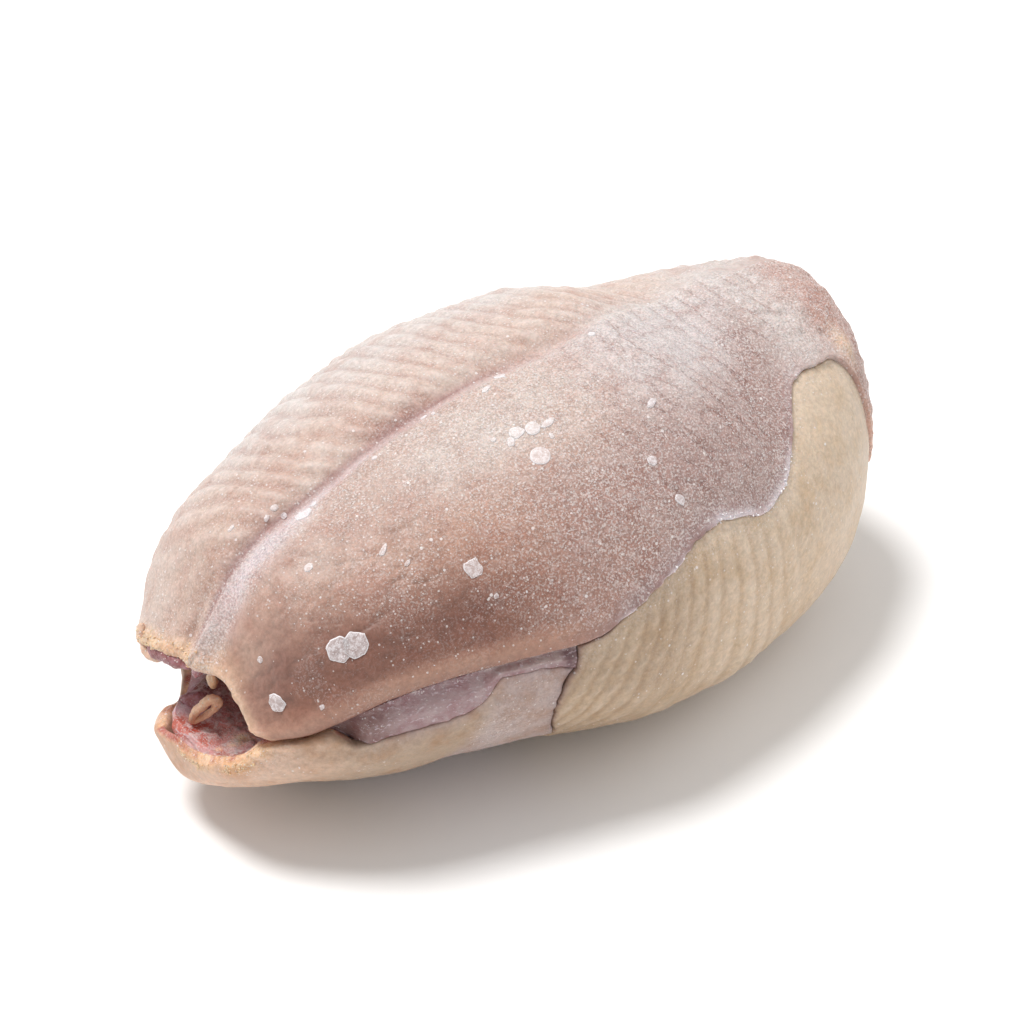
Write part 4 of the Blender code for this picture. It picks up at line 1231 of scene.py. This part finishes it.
# Lumps: place, size, seed, unevenness, turns in degrees and steps.
KNOB = ((-0.1081, 0.0044, 0.0426), (0.0016, 0.0019, 0.0030), 3, 0.2, (0, 0, 0), 28)
MEAT_TIP = ((-0.1140, 0.0030, 0.0505), (0.0014, 0.0016, 0.0030), 11, 0.2, (15, 0, 0), 24)
LILAC_LUMP = ((-0.1072, 0.0126, 0.0275), (0.0066, 0.0036, 0.0040), 5, 0.22, (0, 20, -35), 40)
TAG_PATH = ((-0.1164, 0.0250, 0.0478), (-0.1172, 0.0206, 0.0490), (-0.1174, 0.0162, 0.0500),
            (-0.1172, 0.0120, 0.0510), (-0.1168, 0.0072, 0.0520), (-0.1162, 0.0028, 0.0528))
RIM_FOLD_PATH = ((-0.1150, 0.0285, 0.0530), (-0.1160, 0.0268, 0.0500), (-0.1168, 0.0245, 0.0472),
                 (-0.1172, 0.0215, 0.0462), (-0.1170, 0.0185, 0.0470), (-0.1162, 0.0158, 0.0486))
RIM_FOLD_SHIFT = np.array((-0.0010, 0.0, -0.0003))
TAG_RADIUS, RIM_FOLD_RADIUS = 0.0023, 0.0013


def through_points(points, count):
    """Evenly many places on a smooth path through a few points."""
    at = np.linspace(0, len(points) - 1, count)
    return np.stack([through(list(enumerate(line)), at) for line in np.array(points).T], -1)


def swept(name, path, radii, look, slot, closed=False, sides=16, bumps=0.12, seed=91, node=None):
    """A soft tube along a path, closed to a ring or with two flat ends."""
    radii = radii[:, None]
    if closed:
        ahead = np.roll(path, -1, axis=0) - np.roll(path, 1, axis=0)
    else:
        ahead = np.gradient(path, axis=0)
    ahead /= np.linalg.norm(ahead, axis=1, keepdims=True)
    first = np.cross(ahead, np.linalg.svd(path - path.mean(0))[2][2])
    first /= np.linalg.norm(first, axis=1, keepdims=True) + 1e-12
    second = np.cross(ahead, first)
    turn = np.linspace(0, 2 * math.pi, sides, endpoint=False)[None, :, None]
    ring = first[:, None] * np.cos(turn) + second[:, None] * np.sin(turn)
    points = path[:, None] + ring * radii[..., None]
    uneven = bumps * radii * fractal(points, radii.mean() * 1.5, 3, seed)
    points = points + ring * uneven[..., None]
    last = (len(path) - 1) * sides
    faces = grid_quads(len(path), sides, wrap=True)
    if closed:
        faces += [[last + i, last + (i + 1) % sides, (i + 1) % sides, i] for i in range(sides)]
    else:
        faces += [list(range(sides))[::-1], [last + i for i in range(sides)]]
    object_from(name, points.reshape(-1, 3), faces, look, slot, None, node)


def tapered(start, end, count):
    """A tube's girth, thickest in the middle."""
    return np.sin(math.pi * np.linspace(start, end, count)) ** 0.5


def pebble(centre, size, seed, roughness=0.3, turns=(0, 0, 0), detail=6, octaves=2, lumps=0.8):
    """Points and faces of one small uneven grain, turned about x, y and z in degrees."""
    polar = np.linspace(0, math.pi, detail)[:, None]
    around = np.linspace(0, 2 * math.pi, 2 * detail, endpoint=False)[None]
    unit = np.stack([np.sin(polar) * np.cos(around), np.sin(polar) * np.sin(around),
                     np.cos(polar) + 0 * around], -1)
    place = unit * (1 + roughness * fractal(unit + seed, lumps, octaves, seed))[..., None]
    turned = Euler([math.radians(turn) for turn in turns]).to_matrix()
    place = (place * np.asarray(size)) @ np.array(turned).T + np.asarray(centre)
    return place.reshape(-1, 3), grid_quads(detail, 2 * detail, wrap=True)


def lump(name, shape, look, slot, node=None):
    """A small uneven lump of fat or tissue."""
    object_from(name, *pebble(*shape, 3, 0.9), look, slot, None, node)


def joined(name, shapes, look, slot):
    """Many small closed shapes, each (points, faces), as one piece."""
    starts = np.cumsum([0] + [len(points) for points, _ in shapes])
    faces = [[start + i for i in face] for start, (_, quads) in zip(starts.tolist(), shapes)
             for face in quads]
    object_from(name, np.concatenate([points for points, _ in shapes]), faces, look, slot)


def loop_path():
    """The middle line of the tissue loop and the tube's radius along it."""
    half = (LOOP_HIGH - LOOP_LOW) / 2
    side = LOOP_SIDE - half * (LOOP_SIDE @ half) / (half @ half)
    side = side * (LOOP_HALF_WIDTH / np.linalg.norm(side))
    turn = np.linspace(0, 2 * math.pi, LOOP_STEPS, endpoint=False)
    path = ((LOOP_LOW + LOOP_HIGH) / 2 + np.cos(turn)[:, None] * half
            + (np.sin(turn) * (1 + 0.25 * np.cos(turn)))[:, None] * side)
    return path, LOOP_TUBE * (1 + 0.18 * np.cos(turn + 0.6) + 0.10 * np.sin(3 * turn))


# Grains: slot, seeds of the draws and shapes, smallest size, how much larger the largest is, how
# rare large ones are, how far out they sit, their spread, the range of their sides, unevenness.
GRAINS = {
    "fat_grains": ("fat", 31, 200, 0.00014, 0.00020, 2, -0.4, 0.0001, (0.8, 1.6), 0.30),
    "frost_crumbs": ("breast_skin", 44, 700, 0.00013, 0.00024, 3, 0.1, 0.0002, (0.7, 1.4), 0.45),
}


def grain_piece(name, spots, look):
    """Many small grains on the rims of the skins, as one piece."""
    slot, seed, first, small, more, power, out, spread, sides, roughness = GRAINS[name]
    draw = np.random.default_rng(seed)
    shapes = []
    for places, normals in spots:
        for k, (place, normal) in enumerate(zip(places, normals)):
            size = small + more * draw.random() ** power
            centre = place + normal * size * out + draw.normal(size=3) * spread
            shapes.append(pebble(centre, size * draw.uniform(*sides, 3), first + k, roughness))
    joined(name, shapes, look, slot)


def mouth_pieces(spots):
    tissue, fat, purple, dark, rim_skin = (simple_look(name) for name in SMALL_LOOKS)
    swept("tissue_loop_detail", *loop_path(), tissue, "tissue", closed=True, bumps=0.34,
          node="tissue_loop")
    lump("fat_knob_detail", KNOB, fat, "fat", "fat_knob")
    grain_piece("fat_grains", spots, fat)
    swept("meat_tag", through_points(TAG_PATH, 40), TAG_RADIUS * tapered(0.06, 0.95, 40),
          dark, "meat", sides=20, bumps=0.28, seed=93)
    swept("rim_fold", through_points(RIM_FOLD_PATH, 60) + RIM_FOLD_SHIFT,
          RIM_FOLD_RADIUS * tapered(0.10, 0.96, 60), rim_skin, "breast_skin",
          sides=20, bumps=0.22, seed=97)
    lump("meat_tip", MEAT_TIP, purple, "meat")
    lump("lilac_lump", LILAC_LUMP, purple, "meat")


# ---------------------------------------------------------------- ice and frost

# Flat crystals: along, angle, long side, short side and turn in degrees.
ICE_FLAKES = (
    (0.0372, 48.8, 0.0078, 0.0072, 20), (0.0419, 50.2, 0.0082, 0.0074, 60),
    (0.021, 51, 0.0062, 0.0048, 80), (0.079, 46, 0.0070, 0.0058, 110),
    (0.113, 27, 0.0062, 0.0060, 0), (0.117, 20, 0.0048, 0.0044, 40),
    (0.1122, 19, 0.0050, 0.0042, 150), (0.1225, 20.5, 0.0052, 0.0024, 10),
    (0.0525, 3.4, 0.0058, 0.0052, 30), (0.0568, 2.6, 0.0030, 0.0024, 60),
    (0.1252, 1.6, 0.0050, 0.0036, 70), (0.145, 51, 0.0040, 0.0032, 120),
    (0.143, 40, 0.0036, 0.0028, 15), (0.042, 21, 0.0031, 0.0026, 0),
    (0.0484, -4.5, 0.0024, 0.0020, 0), (0.0492, -2, 0.0020, 0.0017, 30),
    (0.0445, -4, 0.0022, 0.0016, 10), (0.0358, -10, 0.0028, 0.0012, 10),
    (0.117, 4, 0.0044, 0.0018, 20), (0.159, 3, 0.0024, 0.0022, 0),
    (0.0606, 29, 0.0044, 0.0016, 20), (0.0642, 36, 0.0026, 0.0012, 10),
    (0.0980, 1, 0.0024, 0.0018, 20), (0.1002, 2.4, 0.0022, 0.0014, 60),
    (0.1095, 20.5, 0.0038, 0.0022, 40), (0.0770, 4, 0.0022, 0.0018, 0),
    (0.1200, 24, 0.0022, 0.0014, 70), (0.1060, 18, 0.0020, 0.0014, 30),
    (0.0814, 55, 0.0016, 0.0013, 0), (0.1551, 28, 0.0040, 0.0020, 20),
    (0.022, 31, 0.0020, 0.0016, 40), (0.029, 65, 0.0016, 0.0013, 0),
)
# A flake's rings from its middle out: their size and their height in thicknesses.
FLAKE_PROFILE = ((0.0, 1.30), (0.35, 1.26), (0.65, 1.15), (0.88, 1.00), (0.945, 0.85),
                 (0.985, 0.5), (1.0, 0.0), (0.97, -1.5))
FLAKE_SIDES, FLAKE_SEATS = 36, 12
FLAKE_THIN, FLAKE_THICKER = 0.00022, 0.02
SMALL_FLAKE, ROUND_FLAKE = 0.0065, 0.0004


def flake_outline(angles, draw):
    """Radii of a flat crystal: six or seven straight sides with slightly uneven corners."""
    count = draw.integers(6, 8)
    at = (np.arange(count) + draw.uniform(-0.22, 0.22, count)) * 2 * math.pi / count
    corners = np.stack([np.cos(at), np.sin(at)], -1) * draw.normal(1.04, 0.09, count)[:, None]
    steps = np.linspace(0, 1, 9)[:-1, None]
    sides = np.concatenate([corners[k] * (1 - steps) + corners[(k + 1) % count] * steps
                            for k in range(count)])
    around = np.arctan2(sides[:, 1], sides[:, 0]) % (2 * math.pi)
    order = np.argsort(around)
    return np.interp(angles, around[order], np.hypot(*sides.T)[order], period=2 * math.pi)


def nearest_on(tree_points, place):
    return np.argmin(((tree_points - place) ** 2).sum(1))


def ice_piece(skin):
    """Flat crystals that lie on the breast skin."""
    places = vertex_values(skin.data.vertices, "co")
    normals = vertex_values(skin.data.vertices, "normal")
    tones = vertex_values(skin.data.attributes["tone"].data, "vector")
    draw = np.random.default_rng(7)
    angles = np.linspace(0, 2 * math.pi, FLAKE_SIDES, endpoint=False)
    seats = slice(None, None, FLAKE_SIDES // FLAKE_SEATS)
    sides = np.arange(FLAKE_SIDES)
    points, faces, rims, colours = [], [], [], []
    for along, angle, long_side, short_side, turn in ICE_FLAKES:
        i = nearest_on(places, body(along, angle))
        up = normals[i] / np.linalg.norm(normals[i])
        forward = np.cross((0, 1, 0), up)
        forward /= np.linalg.norm(forward)
        across = np.cross(up, forward)
        shape = flake_outline(angles, draw) + 0.015 * draw.normal(size=FLAKE_SIDES)
        if long_side < SMALL_FLAKE and long_side - short_side < ROUND_FLAKE:
            shape = 1 + 0.02 * np.cos(4 * angles)
        thickness = FLAKE_THIN + FLAKE_THICKER * long_side
        c, s = math.cos(math.radians(turn)), math.sin(math.radians(turn))
        first = len(points) * FLAKE_SIDES
        for size, height in FLAKE_PROFILE:
            local = np.stack([np.cos(angles) * long_side, np.sin(angles) * short_side], -1)
            local = (local * (shape * size / 2)[:, None]) @ np.array([[c, s], [-s, c]])
            ground = places[i] + local[:, :1] * forward + local[:, 1:] * across
            sag = [(places[nearest_on(places, g)] - g) @ up for g in ground[seats]]
            sag = np.interp(sides, sides[seats], sag, period=FLAKE_SIDES)
            rough = 0.05 * thickness * draw.normal(size=FLAKE_SIDES) * (0 < size < 0.95)
            points.append(ground + up * (sag + height * thickness + rough)[:, None])
            rims.append(np.full(FLAKE_SIDES, float(size >= 0.94)))
            colours.append(np.tile(tones[i], (FLAKE_SIDES, 1)))
        faces += grid_quads(len(FLAKE_PROFILE), FLAKE_SIDES, first=first, wrap=True)
        faces.append((first + (len(FLAKE_PROFILE) - 1) * FLAKE_SIDES + sides).tolist())
    object_from("ice_flakes", np.concatenate(points), faces, ice_look(), "breast_skin",
                {"rim": np.concatenate(rims), "tone": np.concatenate(colours)})


CRYSTAL = np.array([(1, 0, 0), (-1, 0, 0), (0, 1, 0), (0, -1, 0), (0, 0, 1), (0, 0, -1)], float)
CRYSTAL_FACES = ((0, 2, 4), (2, 1, 4), (1, 3, 4), (3, 0, 4),
                 (2, 0, 5), (1, 2, 5), (3, 1, 5), (0, 3, 5))
CRYSTAL_SMALL, CRYSTAL_MORE, CRYSTAL_SPREAD = 0.00007, 0.00015, 0.0003


def frost_piece(skins, look):
    """Small crystals of frost, thicker in the furrow and along the rims."""
    draw = np.random.default_rng(12)
    shapes = []
    for skin, amount in skins:
        places = vertex_values(skin.data.vertices, "co")
        normals = vertex_values(skin.data.vertices, "normal")
        frost = vertex_values(skin.data.attributes["frost"].data, "value", 1)
        clump = ramp(noise(places, 0.009, 95), -0.2, 0.7) + 0.3
        weight = np.clip(frost, 0, 1) ** 3 * clump * (np.linalg.norm(normals, axis=1) > 0.5)
        weight = weight * (places[:, 2] > 0.006)
        chosen = draw.choice(len(places), size=amount, p=weight / weight.sum())
        for k, size in zip(chosen, CRYSTAL_SMALL + CRYSTAL_MORE * draw.random(amount) ** 4):
            turned = np.linalg.qr(draw.normal(size=(3, 3)))[0]
            shift = draw.normal(size=3) * CRYSTAL_SPREAD
            shift -= normals[k] * (shift @ normals[k])
            shape = (CRYSTAL * draw.uniform(0.7, 1.3, 3) * size) @ turned
            shapes.append((shape + places[k] + shift + normals[k] * size * 0.35, CRYSTAL_FACES))
    joined("frost_grains", shapes, look, "breast_skin")


# ---------------------------------------------------------------- stage, light and camera

FLOOR_HALF, FLOOR_BELOW, FLOOR_COLOUR = 3.0, 0.00005, (0.93, 0.925, 0.92, 1)
SKY_COLOUR, SKY_STRENGTH = (1.0, 0.995, 0.99, 1), 0.53
# Lamps: energy, size in degrees, direction and colour.
SUNS = {
    "key": (2.85, 20, (-0.50, 1.0, 2.90), (1.0, 0.997, 0.993)),
    "fill": (0.55, 60, (1.0, -0.45, 0.75), (1.0, 0.995, 0.985)),
}
ELEVATION, AZIMUTH, DISTANCE = math.radians(37.80), math.radians(-38.99), 0.963745
TARGET = Vector((-0.0045, 0.0, 0.045))
LENS, SENSOR_WIDTH, SHIFT = 110, 36, (0.0149, 0.0312)


def placed(name, data):
    piece = bpy.data.objects.new(name, data)
    bpy.context.scene.collection.objects.link(piece)
    return piece


def stage():
    look = bpy.data.materials.new("floor")
    look.use_nodes = True
    shader = look.node_tree.nodes["Principled BSDF"]
    shader.inputs["Base Color"].default_value = FLOOR_COLOUR
    shader.inputs["Roughness"].default_value = 1.0
    shader.inputs["Specular IOR Level"].default_value = 0.0
    mesh = bpy.data.meshes.new("floor")
    corners = [(x * FLOOR_HALF, y * FLOOR_HALF, 0) for x, y in ((-1, -1), (1, -1), (1, 1), (-1, 1))]
    mesh.from_pydata(corners, [], [(0, 1, 2, 3)])
    mesh.materials.append(look)
    floor = placed("floor", mesh)
    floor.location.z = -FLOOR_BELOW


def light():
    world = bpy.data.worlds.new("studio")
    world.use_nodes = True
    background = world.node_tree.nodes["Background"]
    background.inputs["Color"].default_value = SKY_COLOUR
    background.inputs["Strength"].default_value = SKY_STRENGTH
    bpy.context.scene.world = world
    for name, (energy, size, towards, colour) in SUNS.items():
        sun = bpy.data.lights.new(name, "SUN")
        sun.energy, sun.angle, sun.color = energy, math.radians(size), colour
        lamp = placed(name, sun)
        lamp.rotation_euler = Vector(towards).to_track_quat("Z", "Y").to_euler()
        lamp.location = towards


def camera():
    back = Vector((math.sin(AZIMUTH) * math.cos(ELEVATION),
                   -math.cos(AZIMUTH) * math.cos(ELEVATION), math.sin(ELEVATION)))
    lens = bpy.data.cameras.new("camera")
    lens.lens, lens.sensor_width = LENS, SENSOR_WIDTH
    lens.shift_x, lens.shift_y = SHIFT
    view = placed("camera", lens)
    view.location = TARGET + back * DISTANCE
    view.rotation_euler = back.to_track_quat("Z", "Y").to_euler()
    bpy.context.scene.camera = view


stage()
light()
camera()
bpy.context.scene.view_settings.view_transform = "Standard"

breast, breast_spots, rim_spots = Breast().piece()
flank_piece()
back, back_spots = back_piece()
meat_piece()
mouth_pieces((breast_spots, back_spots))
ice_piece(breast)
white = frost_look()
grain_piece("frost_crumbs", (rim_spots,), white)
frost_piece(zip((breast, back), FROST_GRAINS), white)
